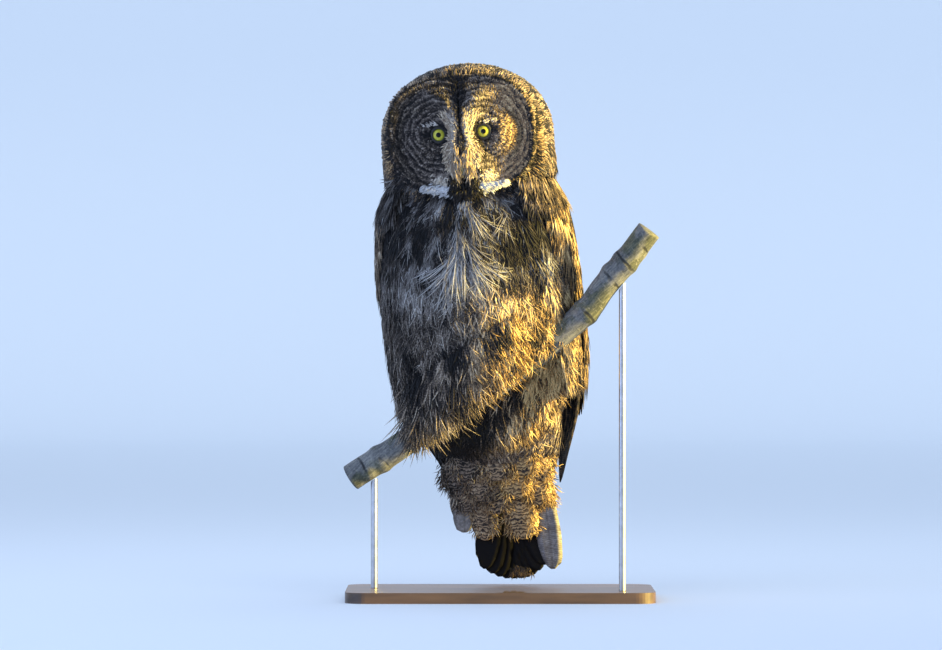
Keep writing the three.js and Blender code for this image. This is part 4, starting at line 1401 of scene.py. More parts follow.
# %% Lie and marks of the head coat
facing = smooth(0.2, 0.75, -normals[:, 1])
falling = smooth(-30, 60, spot[:, 1])
low_back = smooth(596, 552, places[:, 2]) * smooth(-60, -20, spot[:, 1])
lie = unit(spot * np.array([1.0, 0, 1.0])) * facing[:, None] + np.array([0, 0.9, 0])
lie = lie + np.array([0, 0, -1.0]) * falling[:, None] + np.array([0, 0, -3.0]) * low_back[:, None]
flow = along_skin(lie, normals)
way_out = unit(spot)
round_face = np.arctan2(way_out[:, 2], way_out[:, 0])
from_nape = np.arccos(np.clip(way_out[:, 1], -1, 1))
speckle = blotch(round_face * 23, from_nape * 26, 5) - 0.5
rim_near = bump((face_share(spot[:, 0], spot[:, 2]) - 1.0) / 0.055, 1.0) * (spot[:, 1] < -25)
crown = smooth(20, 70, spot[:, 2])
tone = 0.54 + 0.60 * speckle + 0.14 * rim_near + 0.12 * crown
warmth = 0.50 + 0.25 * facing - 0.25 * crown
size = mix(mix(10.5, 17, smooth(-60, 40, spot[:, 1])), 30, low_back)
tone = mix(tone, cloak_tone(places + flow * 18), low_back)
head_coat = fan(places, normals, flow, size * rng.uniform(0.9, 1.15, len(size)), size * 0.42, tone,
                head_cell(spot), locks=HEAD_LOCKS, splay=0.4, rise=0.26, hug=0.18, streak=0.2,
                warmth=np.clip(warmth, 0, 1), bars=0.08, sway=0.2)
half = places[:, 1] < np.median(places[:, 1])
for name, side_mask in (("crown_coat", half), ("nape_coat", ~half)):
    wanted = np.repeat(side_mask, HEAD_LOCKS)
    coat_piece(name, [{key: value[wanted] for key, value in head_coat.items()}], coat_finish,
               "body_feathers")

# %% [markdown]
# ## Places on the face
# The disc's feathers are the finest on the owl, so their roots need a dense grid of their own. It could be
# found with rays too, but the face has a formula, which gives each place and the way it faces at once.


# %% Places on the face
EYE_CLEAR = 9.6


def face_roots(step):
    x = np.arange(-DISC_HALF_WIDTH, DISC_HALF_WIDTH, step)
    z = np.arange(-DISC_HALF_HEIGHT, DISC_HALF_HEIGHT, step * 0.87)
    x, z = np.meshgrid(x, z, indexing="ij")
    x = x + (np.arange(x.shape[1]) % 2) * step / 2
    x = (x + rng.uniform(-0.4, 0.4, x.shape) * step).ravel()
    z = (z + rng.uniform(-0.4, 0.4, z.shape) * step).ravel()
    inside = face_share(x, z) < 1.0
    clear = np.hypot(np.abs(x) - EYE_SIDE, z - EYE_HEIGHT) > EYE_CLEAR
    return x[inside & clear], z[inside & clear]


def face_normal(x, z):
    d = 0.5
    dx = (face_forward(x + d, z) - face_forward(x - d, z)) / (2 * d)
    dz = (face_forward(x, z + d) - face_forward(x, z - d)) / (2 * d)
    return unit(columns(-dx, -np.ones_like(x), -dz) * np.array([-1, 1, -1]))


def face_cell(x, z):
    share = np.clip(face_share(x, z), 0, 1)
    angle = np.arctan2(z, x)
    return columns(0.5 + 0.485 * share * np.cos(angle), 0.5 + 0.485 * share * np.sin(angle))


def head_fan(root, normal, flow, *values, **kwargs):
    return fan(moved(root, head_in_owl), turned(normal, head_in_owl), turned(flow, head_in_owl), *values,
               **kwargs)


def on_face(x, z, flow, length, width, tone, warmth, **kwargs):
    normal = face_normal(x, z)
    return head_fan(face_point(x, z, kwargs.pop("sink", 2.6)), normal, along_skin(flow, normal), length,
                    width, tone, face_cell(x, z), warmth=warmth, **kwargs)


print("the face looks forward at the brow:", face_normal(np.array([0.0]), np.array([30.0])).round(2))

# %% [markdown]
# ## The pale crescents
# Between the eyes stand two pale crescents, back to back. Their line and width are given at a few heights,
# because the disc, its dark edges and the tufts on it all need the same line.

# %% Pale crescents
# height, distance of the pale crescent from the midline, and its half width
CRESCENT = np.array([
    (-50, 10, 5), (-39, 11.5, 9), (-30, 14, 10.5), (-20, 15, 10.5), (-10, 11.5, 8.5),
    (1, 8.5, 7), (10, 10.5, 8), (22, 14.5, 10.5), (30, 18, 8),
], float)


def crescent_line(z):
    return np.interp(z, CRESCENT[:, 0], CRESCENT[:, 1])


def crescent_width(z):
    return np.interp(z, CRESCENT[:, 0], CRESCENT[:, 2])


print("crescents between heights", CRESCENT[0, 0], "and", CRESCENT[-1, 0], "mm")

# %% [markdown]
# ## Lie of the disc's feathers
# They lie outwards from each eye, so the rings stay sharp. Along the midline they part and stand up or hang
# down, beside the bill.

# %% Lie of the disc's feathers
x, z = face_roots(1.9)
side = np.sign(x)
ax = np.abs(x)
from_eye = columns(ax - EYE_SIDE, 0, z - EYE_HEIGHT)
far = np.hypot(from_eye[:, 0], from_eye[:, 2])
away = unit(from_eye) * columns(side, 1, 1)
midline = smooth(20, 8, ax)
up_down = columns(side * 0.5, 0, 2 * smooth(-22, 6, z) - 1.0)
flow = away * (1 - midline)[:, None] + up_down * midline[:, None]
print("feathers on the disc:", len(x))

# %% [markdown]
# ## Marks of the disc
# Each mark is one mask over the roots: crescents, their black edges, the dark midline, the rim, the pale
# patches under the disc, the black chin, and the black round each eye. A painted shadow of the brow lies
# beside each eye, and the disc's outer part on the owl's left is painted in sun, its right half in shade. A
# painted texture would need a finer unwrap than the feathers have. Masks are also easy to shift one by one
# against the real bird.

# %% Marks of the disc
reach = np.abs(ax - crescent_line(z))
crescent = smooth(4, -4, reach - crescent_width(z)) * smooth(-52, -40, z) * (1 - smooth(12, 34, z))
outer_edge = crescent_line(z) + crescent_width(z) + 2
black_line = bump(ax - outer_edge, 2.4) * smooth(-36, -28, z) * (1 - smooth(-2, 8, z))
mid_dark = bump(ax, 2.0 + 11 * smooth(22, 66, z)) * smooth(-50, -20, z)
rim_dark = smooth(0.965, 0.99, face_share(x, z) + 0.03 * (mottle(np.arctan2(z, x) * 14, 0 * x, 3) - 0.5))
chin_pale = bump(np.hypot((ax - 30) / 13, (z + 58) / 9), 1.0)
chin_black = bump(np.hypot(ax / 11, (z + 62) / 15), 1.0)
inner_top = smooth(-0.25, 0.4, (-0.75 * from_eye[:, 0] + 0.65 * from_eye[:, 2]) / np.maximum(far, 1))
eye_ring = smooth(15, 12.5, far) * inner_top + smooth(11.5, 10, far)
# painted shadow of the brow tufts at the outer side of each eye
brow_shadow = bump(np.hypot((ax - EYE_SIDE - 13) / 5, (z - 2) / 3.6), 1.0)
tone = 0.60 - 0.38 * crescent + 0.5 * black_line + 0.40 * mid_dark + 0.40 * rim_dark - 0.50 * chin_pale
tone = tone + 0.60 * chin_black + 0.50 * eye_ring + 0.45 * brow_shadow
# painted sun and shade: the disc's outer part on the owl's left is painted paler and golden, its half on the
# owl's right darker
sunned = smooth(26, 60, x)
tone = tone + (0.11 * smooth(5, -25, x) - 0.17 * sunned) * (1 - rim_dark) * (1 - chin_pale)
ring_share = np.clip(smooth(11, 18, far) * (1 - crescent) * (1 - chin_pale) * (1 - 0.7 * rim_dark), 0, 1)
length = mix(5.5, 8.5, smooth(10, 30, far))
face = on_face(x, z, flow, length, 2.4, tone, 0.22 + 0.5 * sunned, locks=1, rise=0.30, hug=0.14, sway=0.25,
               thick=0.3, bars=ring_share)
coat_piece("disc_coat", [face], disc_finish, "face_feathers", sections=2, tip_pale=0.0, root_dark=0.1)


# %% [markdown]
# ## Rim and ruff
# A dark rim of stiff small feathers stands round the disc, and a ruff behind it closes the step to the
# dome. On the bird they guide sound to the ears. A torus could stand for the rim, but it would look like a
# cord, so both are rings of small fans.


# %% Rim and ruff
def ring_places(share, step, radius, shake, in_and_out, clear):
    angle = np.arange(0, 2 * math.pi, step / radius)
    angle = angle + rng.uniform(-shake, shake, len(angle)) * step / radius
    reach = disc_edge(angle) * (share + rng.uniform(-in_and_out, in_and_out, len(angle)))
    x, z = reach * np.cos(angle), reach * np.sin(angle)
    kept = (np.abs(x) > clear) | (z > 0)
    return angle[kept], x[kept], z[kept]


def rim_feathers(share, step, length, tone, lift, **kwargs):
    angle, x, z = ring_places(share, step, 80, 0.3, 0.012, 58)
    flow = columns(x / 90, lift, z / 71)
    gaps = smooth(0.60, 0.82, mottle(angle * 24, share * 30 + 0 * angle, 2))
    shade = tone - 0.55 * gaps + rng.normal(0, 0.08, len(x))
    return on_face(x, z, flow, length * rng.uniform(0.85, 1.2, len(x)), 3.6, shade, 0.3, **kwargs)


def ruff_feathers(share, step, length, width, tone, out, sink, warmth, **kwargs):
    """Feathers that leave the rim backwards and close the step to the dome"""
    angle, x, z = ring_places(share, step, 85, 0.4, 0.01, 62)
    radial = unit(columns(x / 90, 0, z / 71))
    normal = unit(radial + np.array([0, -0.55, 0]))
    flow = along_skin(radial * out + np.array([0, 1.0, 0]), normal)
    speckle = 0.5 * (blotch(angle * 23, share * 40 + 0 * angle, 5) - 0.5)
    return head_fan(face_point(x, z, sink), normal, flow, length * rng.uniform(0.8, 1.2, len(x)), width,
                    tone + speckle, face_cell(x, z), warmth=warmth, locks=3, splay=0.3, **kwargs)


ruff = [
    ruff_feathers(0.985, 1.5, 11, 3.8, 0.70, 0.75, 1.0, 0.45, rise=0.12, hug=0.20),
    ruff_feathers(1.005, 1.6, 14, 4.2, 0.60, 0.60, 4.0, 0.50, rise=0.10, hug=0.20),
    ruff_feathers(1.03, 1.8, 17, 4.6, 0.56, 0.50, 8.0, 0.50, rise=0.08, hug=0.16),
    ruff_feathers(1.06, 2.0, 18, 5.0, 0.55, 0.42, 13.0, 0.50, rise=0.08, hug=0.12),
    rim_feathers(0.975, 1.5, 6, 0.94, 0.0, locks=2, rise=0.3, hug=0.2),
    rim_feathers(0.995, 1.5, 7, 0.98, 0.3, locks=2, rise=0.2, hug=0.3),
]
coat_piece("disc_rim", ruff, coat_finish, "face_feathers", tip_pale=0.02)


# %% [markdown]
# ## Tufts of the face
# Loose bristles give the face its look: crescents, brows, a pale moustache under the disc, and the lores
# that cover the bill. Some lie in patches on both sides, and some follow a line. One helper for each is
# enough.


# %% Tufts of the face
def place_tufts(x, z, way, length, width, tone, warmth, shake=0.15, **kwargs):
    n = len(x)
    way = way + rng.normal(0, 0.18, (n, 3))
    shade = tone + rng.normal(0, shake, n)
    return on_face(x, z, way, length * rng.uniform(0.75, 1.25, n), width, shade, warmth, locks=1, **kwargs)


def patch(count, centre, spread, flow, length, width, tone, warmth=0.2, **kwargs):
    parts = []
    for side in (-1, 1):
        x = side * (centre[0] + rng.normal(0, spread[0], count))
        z = centre[1] + rng.normal(0, spread[1], count)
        way = np.tile(np.array(flow, float) * [side, 1, 1], (count, 1))
        parts.append(place_tufts(x, z, way, length, width, tone, warmth, 0.08, **kwargs))
    return parts


tufts = []
for side in (-1, 1):
    z = rng.uniform(-47, 26, 800)
    across = rng.uniform(-1, 1, len(z)) * rng.uniform(0.6, 1.05, len(z))
    x = side * (crescent_line(z) + crescent_width(z) * across)
    clear = np.hypot(np.abs(x) - EYE_SIDE, z - EYE_HEIGHT) > 15.5
    x, z = x[clear], z[clear]
    lie = columns(side * 0.5, 0, 1.8 * smooth(-22, 6, z) - 0.9)
    tufts.append(place_tufts(x, z, lie, 7.5, 1.2, 0.27, 0.45, rise=0.45, hug=0.35, thick=0.3))
    t = rng.uniform(0, 1, 820) ** 0.85
    z = mix(-72.0, -66.0, t) + rng.normal(0, 0.55, len(t)) * mix(5.2, 1.8, t)
    x = side * mix(12.0, 52.0, t)
    lie = np.array([side * 0.8, 0, -0.4])
    tufts.append(place_tufts(x, z, lie, mix(10, 8, t), 1.5, mix(-0.08, 0.10, t), 0.0, rise=0.4, hug=0.4,
                             sink=mix(1.0, -2.0, t)))
tufts += patch(60, (37, 12.5), (5, 1.4), (0.8, 0, 0.5), 6.5, 1.2, 0.12, rise=0.5, hug=0.4)
tufts += patch(22, (41, -5), (2.4, 1.6), (0.8, 0, -0.4), 5, 1.2, 0.15, rise=0.4, hug=0.3)
tufts += patch(150, (29, -58), (6, 4), (0.6, 0, -0.7), 9, 1.6, 0.10, warmth=0.3, rise=0.4, hug=0.3)
tufts += patch(280, (12, -40), (2.5, 8), (-0.3, 0, -1.0), 13, 1.3, 0.32, warmth=0.45, rise=0.65, hug=0.5)
z = rng.uniform(-44, 4, 240)
tufts.append(place_tufts(rng.normal(0, 1.5, len(z)), z, np.array([0, 0, -1.0]), 10, 1.3, 0.82, 0.3,
                         rise=0.3, hug=0.32, sink=mix(-6.0, 1.5, smooth(-32, -14, z))))
tufts += patch(260, (8, -33), (1.8, 6), (-0.15, 0, -1.0), 16, 1.3, 0.40, warmth=0.45, rise=0.75, hug=0.60,
               sink=-4)
tufts += patch(460, (7, -66), (5, 8), (0.2, 0, -1.0), 14, 2.0, 0.99, rise=0.5, hug=0.3)
coat_piece("face_tufts", tufts, coat_finish, "face_feathers", sections=2, tip_pale=0.03, root_dark=0.05)

# %% [markdown]
# ## One vane
# Coverts and flight feathers are stiff vanes with a shaft, so each one is a curved blade with an eight-
# sided section that is closed at both ends. A bent plane with a picture of a feather is the usual way, but
# it has no body and needs the picture. One blade that is bent over a surface keeps them all alike but never
# equal.

# %% One vane
BLADE_STEPS = np.array([0, 0.2, 0.4, 0.58, 0.72, 0.83, 0.91, 0.965, 1.0])
BLADE_ROWS = len(BLADE_STEPS)
WIDEST, ROOT_WIDTH, TIP_ROUND = 0.6, 0.45, 0.97
SECTION = [
    (-1.0, 0.0), (-0.55, 0.8), (0.0, 1.0), (0.55, 0.8), (1.0, 0.0), (0.55, -0.2), (0.0, -0.25),
    (-0.55, -0.2),
]


def tip_share(along):
    """0 up to a vane's widest place and 1 at its tip"""
    return np.clip((along - WIDEST) / 0.4, 0, 1)


def blade(place, half, length, tone, warmth, bars, cell, thick=0.5, ragged=0.02, ridge_dark=0.0):
    """One vane. place(across, along, rise) lays it on a surface, in millimetres."""
    t = BLADE_STEPS
    chance = rng.uniform()
    rounded = np.sqrt(np.clip(1 - TIP_ROUND * tip_share(t) ** 2.4, 0.03, 1))
    wide = np.where(t < WIDEST, mix(ROOT_WIDTH, 1.0, (t / WIDEST) ** 0.7), rounded)
    across = np.array([s[0] for s in SECTION])[None, :] * wide[:, None]
    rise = np.array([s[1] for s in SECTION])[None, :] * thick * mix(1, 0.4, t)[:, None]
    frayed = rng.normal(0, ragged, across.shape) * (np.abs(across) > 0.5)
    along = np.broadcast_to(t[:, None], across.shape) + frayed
    points = place(across * half, np.clip(along, 0, 1.03), rise).reshape(-1, 3)
    n = len(SECTION)
    faces = []
    last = (BLADE_ROWS - 1) * n
    for r in range(BLADE_ROWS - 1):
        for k in range(n):
            a, b, c, d = r * n + k, r * n + (k + 1) % n, (r + 1) * n + (k + 1) % n, (r + 1) * n + k
            faces += [(a, b, c), (a, c, d)]
    for k in range(1, n - 1):
        faces += [(0, k + 1, k), (last, last + k, last + k + 1)]
    faces = outward(points, np.array(faces))
    flat_along, flat_across = along.ravel(), across.ravel()
    shade = tone + ridge_dark * (rise.ravel() > -0.01)
    plume = columns(shade, warmth, bars)
    course = columns(flat_along * length, flat_across, chance)
    patch_uv = np.array(cell) + columns(flat_across * 0.0015, flat_along * 0.003)
    return points, faces, patch_uv, plume, course


def blades_piece(name, blades, finish, replaces=()):
    start = 0
    all_points, all_faces = [], []
    for points, faces, _, _, _ in blades:
        all_points.append(points)
        all_faces.append(faces + start)
        start += len(points)
    uv, plume, course = (np.vstack([b[i] for b in blades]) for i in (2, 3, 4))
    points = moved(np.vstack(all_points), owl_place) * MM
    mesh = mesh_of(name, points, np.vstack(all_faces), uv, {"plume": plume, "course": course})
    print(f"{name}: {len(blades)} vanes, {len(mesh.polygons)} triangles")
    return new_object(name, mesh, finish, replaces)


print("faces of one vane:", 2 * len(SECTION) * BLADE_ROWS - 4)

# %% [markdown]
# ## Finish of the flight feathers
# A flight feather has soft bars across, a dark shaft, a paler edge and fine barbs. All follow the feather,
# so the finish reads how far along and across each point lies.


# %% Finish of the flight feathers
def vane_finish(name, bar_length, edge_pale, shaft_dark=0.25):
    finish = Finish(name, Roughness=0.8, Specular_IOR_Level=0.12)
    tone, warmth, bars = finish.split(finish.attribute("plume"))
    along, across, chance = finish.split(finish.attribute("course"))
    grain = finish.noise(300, 3.0)
    coarse = finish.noise(60, 2.0)
    ripple = finish.wave(along * (2 * math.pi / bar_length) + coarse * 6.0 + chance * 6.0 + across * across)
    fine = finish.wave(along * (2 * math.pi / 2.6) + grain * 9.0 + across * 3.0)
    shaft = 1 - finish.step(abs(across), 0.03, 0.12)
    edge = finish.step(abs(across), 0.72, 1.0)
    dark = tone + ripple * bars + fine * 0.07 + (grain - 0.5) * 0.5 + (coarse - 0.5) * 0.3
    dark = dark + shaft * shaft_dark - edge * warmth * edge_pale + (chance - 0.5) * 0.12
    finish.feed("Base Color", plume_colour(finish, dark, warmth))
    finish.relief(finish.wave(along * 3.4 + abs(across) * 9.0), 0.25, 0.0004)
    return finish


WING_BARS, TAIL_BARS = 15.0, 22.0
wing_finish = vane_finish("wing vanes", WING_BARS, 0.55)
tail_finish = vane_finish("tail vanes", TAIL_BARS, 0.04, 0.10)
print("bars every", WING_BARS, "mm on the wing and every", TAIL_BARS, "mm on the tail")

# %% [markdown]
# ## One feather on the wing
# Rows step down the wing as on the bird, each over the root of the next. The wing's surface is known by
# height and by the share between its leading and its trailing edge, so a feather is laid by these two.


# %% One feather on the wing
def wing_cell(side, share, z):
    u, v = 0.5 + 0.46 * side * (0.1 + 0.9 * share), 0.02 + (z - 130) / 420 * 0.95
    return columns(u, v)


def wing_blade(side, share, root, tip, half, lift, tilt, tone, warmth):
    def place(across, along, rise):
        z = mix(root, tip, along)
        turn = mix(station(LEADING, 1, z), station(TRAILING, 1, z), share)
        turn = turn + across / station(CARRIER, 1, z)
        stand = mix(lift[0], lift[1], along) + tilt * across / half + rise - 1.2 * (across / half) ** 2
        return skin_point(CARRIER, z, side * (math.pi / 2 + turn), stand)

    return blade(place, half, abs(root - tip), tone, warmth, 0.12, wing_cell(side, share, root))


# root, length, count, half width, lift at root and tip, darkness
COVERT_ROWS = [(376, 84, 11, 13, (1.4, 4.2), 0.68), (400, 62, 12, 12, (2.0, 4.6), 0.66)]
PRIMARY_TIPS = [176, 156, 146, 141, 144, 152, 168, 188]
SECONDARIES = 9


def wing_vanes(side):
    blades = []
    for i, tip in enumerate(PRIMARY_TIPS):
        lift = (1.0, -1.2 * (len(PRIMARY_TIPS) - 1 - i))
        end = tip + rng.uniform(-2, 2)
        blades.append(wing_blade(side, 0.06 + 0.1 * i, 340, end, 16.5, lift, 0, 0.92, 0.80))
    for i in range(SECONDARIES):
        share = 0.16 + 0.09 * i
        tip = 240 - 30 * share + rng.uniform(-3, 3)
        blades.append(wing_blade(side, share, 350, tip, 14, (1, 2.4), 0.8, 0.70, 0.35))
    for row, (root, long, count, half, lift, tone) in enumerate(COVERT_ROWS):
        for i in range(count):
            share = (i + 0.5 + 0.5 * (row % 2) - 0.25) / count
            jitter = rng.uniform(-2.5, 2.5)
            pale = 0.08 * rng.normal() - (0.10 if share < 0.25 else 0)
            wide = half * rng.uniform(0.9, 1.1)
            warmth = rng.uniform(0.3, 0.6)
            blades.append(wing_blade(side, share, root + jitter, root - long + jitter, wide, lift, 1.2,
                                     tone + pale, warmth))
    return blades


print("vanes on a wing:", len(PRIMARY_TIPS) + SECONDARIES + sum(row[2] for row in COVERT_ROWS))

# %% [markdown]
# ## Small coverts of the wing
# Over the wing's shoulder lie soft small coverts. Stiff blades would look like scales there, so they are
# fans of locks again, in rows that follow the wing's surface.


# %% Small coverts of the wing
def wing_fans(side, step, count, length, width, streak, lift, dark, low=378, high=533):
    z, share = np.meshgrid(np.arange(low, high, step), (np.arange(count) + 0.5) / count, indexing="ij")
    share = share + (np.arange(len(z))[:, None] % 2) * 0.5 / count
    z = (z + rng.uniform(-0.3, 0.3, z.shape) * step).ravel()
    share = np.clip(share + rng.uniform(-0.25, 0.25, share.shape) / count, 0.0, 1.0).ravel()
    turn = mix(station(LEADING, 1, z), station(TRAILING, 1, z), share)
    edge = smooth(0, 0.10, share) * smooth(1.0, 0.92, share)
    stand = mix(0.5, lift, edge)

    def surface(height, more):
        return skin_point(CARRIER, height, side * (math.pi / 2 + turn + more), stand)

    root = surface(z, 0)
    down = unit(surface(z - 2, 0) - surface(z + 2, 0))
    normal = unit(np.cross(surface(z, 0.01) - surface(z, -0.01), down))
    away = columns(side * np.cos(turn), np.sin(turn), 0)
    normal[np.sum(normal * away, axis=1) < 0] *= -1
    streaked = blotch(share * 26, z / 24, 7 + side)
    fine = mottle(share * 95, z / 5, 9)
    # painted sun and shade: the wing on the owl's left gets a pale strip by its leading edge and more gold,
    # the wing on its right is painted darker and greyer
    sunny = side > 0
    tone = dark + 0.48 * (streaked - 0.5) + 0.46 * (fine - 0.5)
    tone = tone - 0.20 * bump(share - 0.10, 0.07) * sunny + 0.10 * (not sunny)
    return fan(root, normal, along_skin(down, normal), rng.uniform(*length, len(z)), width, tone,
               wing_cell(side, share, z), locks=8, splay=0.3, rise=0.16, hug=0.14, streak=streak,
               warmth=0.85 if sunny else 0.45, bars=0.05, sway=0.3)


# row step, count in a row, lengths, width, streak, lift, darkness, and for the lower bands their heights
COVERT_BANDS = [
    (6.8, 27, (24, 32), 12, 0.15, 3.5, 0.50), (12.0, 15, (26, 36), 13, 0.50, 5.0, 0.34),
    (8.5, 18, (34, 48), 15, 0.25, 6.0, 0.58, 326, 392), (12.0, 14, (36, 50), 14, 0.25, 4.0, 0.66, 292, 330),
]
print("bands of small coverts:", len(COVERT_BANDS))

# %% [markdown]
# ## Both wings
# The two wings are made by the same steps. Mirroring one would copy each chance mark, and the eye finds
# such twins at once.

# %% Both wings
for name, side in (("right", -1), ("left", 1)):
    blades_piece(f"wing_vanes_{name}", wing_vanes(side), wing_finish, (f"wing_{name}",))
    coat_piece(f"wing_coverts_{name}", [wing_fans(side, *band) for band in COVERT_BANDS], coat_finish,
               "wing_feathers", sections=2)

# %% [markdown]
# ## Tail
# Twelve broad vanes hang below the branch, the outer ones over each other like cards. Seen from the front
# their undersides are plain and dark, with one pale outer vane on each side. Their edges are a little
# ragged.

# %% Tail
TAIL_TIP = 20


def tail_y(z):
    return mix(84, 68, smooth(20, 190, z))


# darkness and strength of the bars, from the middle vane outwards
TAIL_MARKS = [(0.86, 0.16), (0.87, 0.12), (0.88, 0.08), (0.89, 0.04), (0.9, 0.02), (0.36, 0.03)]
# x at root and tip, the tip's height and the half width of the two pale outer vanes
OUTER_VANES = {1: (50, 53, 30, 17), -1: (-54, -62, 86, 16)}
tail_blades = []
for side in (-1, 1):
    for k, (tone, bars) in enumerate(TAIL_MARKS):
        start, end, tip, half = side * (3 + 3 * k), side * (5 + 8.6 * k), TAIL_TIP + 1.0 * k * k, 18
        outer = k == len(TAIL_MARKS) - 1
        if outer:
            start, end, tip, half = OUTER_VANES[side]

        def place(across, along, rise, k=k, tip=tip, start=start, end=end, side=side):
            z = mix(160, tip, along)
            x = mix(start, end, along) + across
            y = tail_y(z) - 3 * (k + (side + 1) / 4) - rise - 0.004 * across * across
            return columns(x, y, z)

        cell = (0.5 + side * (0.06 + 0.07 * k), 0.1)
        tail_blades.append(blade(place, half, 136, tone, 0.1 if k < 3 else 0.0, bars, cell,
                                 ragged=0.035 if outer else 0.02, ridge_dark=0.0 if outer else 0.32))
blades_piece("tail_vanes", tail_blades, tail_finish, ("tail",))

# %% [markdown]
# ## Coverts over the tail
# Broad soft coverts lie over the tail's root, below and above. They overlap like roof tiles, so each has
# its own row in a list, from the lowest layer to the highest.

# %% Coverts over the tail
# x, root and tip heights, half width, how far root and tip stand off the tail, darkness, warmth; the darkness
# and warmth also carry painted sun, paler and golden at positive x, and painted shade, darker and greyer, at
# negative x
UNDERTAIL = [
    (-68, 156, 104, 9, 12, 9, 0.70, 0.0), (-55, 150, 90, 12, 10, 7, 0.38, 0.0),
    (-30, 152, 74, 19, 24, 20, 0.42, 0.6), (21, 152, 72, 24, 26, 22, 0.38, 0.8),
    (57, 152, 112, 14, 24, 20, 0.40, 0.8), (-50, 172, 112, 18, 32, 26, 0.58, 0.3),
    (-8, 170, 108, 20, 34, 28, 0.46, 0.6), (48, 174, 116, 20, 36, 29, 0.38, 0.9),
    (-28, 186, 126, 22, 44, 34, 0.50, 0.5), (22, 188, 126, 24, 46, 36, 0.38, 0.9),
    (-60, 190, 142, 18, 46, 37, 0.66, 0.2), (58, 196, 148, 18, 46, 38, 0.38, 0.9),
    (0, 204, 152, 22, 58, 46, 0.46, 0.6), (-40, 206, 156, 22, 60, 48, 0.62, 0.3),
    (38, 208, 156, 22, 58, 46, 0.38, 0.9),
]
UPPERTAIL = [
    (-42, 196, 138, 20, 8, 7, 0.66, 0.3), (42, 190, 134, 20, 8, 7, 0.66, 0.3),
    (-13, 190, 120, 22, 9, 8, 0.62, 0.3), (14, 196, 130, 22, 11, 9, 0.64, 0.3),
    (-24, 160, 96, 18, 3, 3, 0.68, 0.3), (16, 162, 90, 18, 4, 3, 0.68, 0.3),
]


print("coverts under the tail:", len(UNDERTAIL), "and over it:", len(UPPERTAIL))

# %% [markdown]
# ## Finish of the tail coverts
# Their bars are fine and wavy, like ripples in sand. A wave along the feather gives the bars, and three
# sizes of noise bend them until no two feathers match.


# %% Finish of the tail coverts
def covert_finish(name, bar_length):
    finish = Finish(name, Roughness=0.75, Specular_IOR_Level=0.2)
    tone, warmth, bars = finish.split(finish.attribute("plume"))
    along, across, chance = finish.split(finish.attribute("course"))
    fine = finish.noise(420, 3.0)
    drift = finish.noise(80, 2.0)
    wide = finish.noise(50, 1.0)
    squiggle = finish.noise(190, 2.0)
    bent = drift * 16.0 + squiggle * 13.0 + across * across * 2.5 + chance * 6.0
    ripple = finish.wave(along * (2 * math.pi / bar_length) + bent)
    fringe = finish.step(abs(across), 0.80, 1.0)
    inner = 1 - finish.step(abs(across), 0.1, 0.75)
    dark = tone + ripple * bars * (0.3 + wide * 1.2)
    dark = dark + (fine - 0.5) * 0.4 + (wide - 0.5) * 0.4 + (squiggle - 0.5) * 0.4
    dark = dark + inner * 0.12 - fringe * 0.18
    finish.feed("Base Color", plume_colour(finish, dark, warmth))
    barbs = finish.wave(along * 5.0 + abs(across) * 14.0 + drift * 5.0)
    finish.relief(barbs * 0.3 + fine, 0.12, 0.0004)
    return finish


covert_bars = covert_finish("barred coverts", 4.8)
print("coverts' finish:", covert_bars.material.name)


# %% [markdown]
# ## Laying the tail coverts
# Each covert hangs straight down from its root, domed along its length and curved down to its edges, which
# keeps it from looking like card.

# %% Laying the tail coverts
BEND_TO_EDGE = 5.5
COVERT_SHIFT = 3


def covert_vanes(rows, facing):
    blades = []
    for x, root, tip, half, start, end, tone, warmth in rows:
        def place(across, along, rise):
            z = mix(root, tip, along)
            dome = 5 * np.sin(np.pi * np.clip(along, 0, 1)) * 0.6
            off = mix(start, end, along) + dome - BEND_TO_EDGE * (across / half) ** 2
            return columns(x - COVERT_SHIFT + across, tail_y(z) + facing * (off + rise), z)

        bars = 0.0 if warmth == 0.0 else 0.27 if facing < 0 else 0.12
        cell = tuple(body_cell(np.array([[x, 60 + facing, root]]))[0])
        blades.append(blade(place, half, root - tip, tone, warmth, bars, cell, thick=0.8, ragged=0.012))
    return blades


blades_piece("tail_coverts", covert_vanes(UNDERTAIL, -1) + covert_vanes(UPPERTAIL, 1), covert_bars)


# %% [markdown]
# ## Loose barbs on the coverts
# A covert's edge is soft, because its outer barbs hang loose. A few small fans along both edges break the
# blade's hard line.

# %% Loose barbs on the coverts
BARBS = 46
TIP_TUFTS = 60


def covert_fluff(rows, facing):
    parts = []
    for x, root, tip, half, start, end, tone, warmth in rows:
        if warmth == 0.0:
            continue
        share = rng.choice([-1.0, 1.0], BARBS) * rng.uniform(0.5, 1, BARBS)
        along = rng.uniform(0.25, 0.92, BARBS)
        wide = half * np.sqrt(1 - tip_share(along) ** 2.4) * 0.96
        z = mix(root, tip, along)
        dome = 3 * np.sin(np.pi * along)
        off = mix(start, end, along) + dome - BEND_TO_EDGE * (share * wide / half) ** 2
        base = columns(x - COVERT_SHIFT + share * wide, tail_y(z) + facing * (off + 0.5), z)
        flow = unit(columns(share * 0.45, 0, -1.0))
        normal = along_skin(np.tile([0.0, float(facing), 0.0], (BARBS, 1)), flow)
        shade = tone - 0.06 + rng.normal(0, 0.16, BARBS)
        parts.append(fan(base, normal, flow, rng.uniform(9, 17, BARBS), 2.2, shade, body_cell(base),
                         locks=3, splay=0.6, rise=0.10, hug=0.13, warmth=warmth, bars=0.12, sway=0.9,
                         spread=1.2))
    return parts


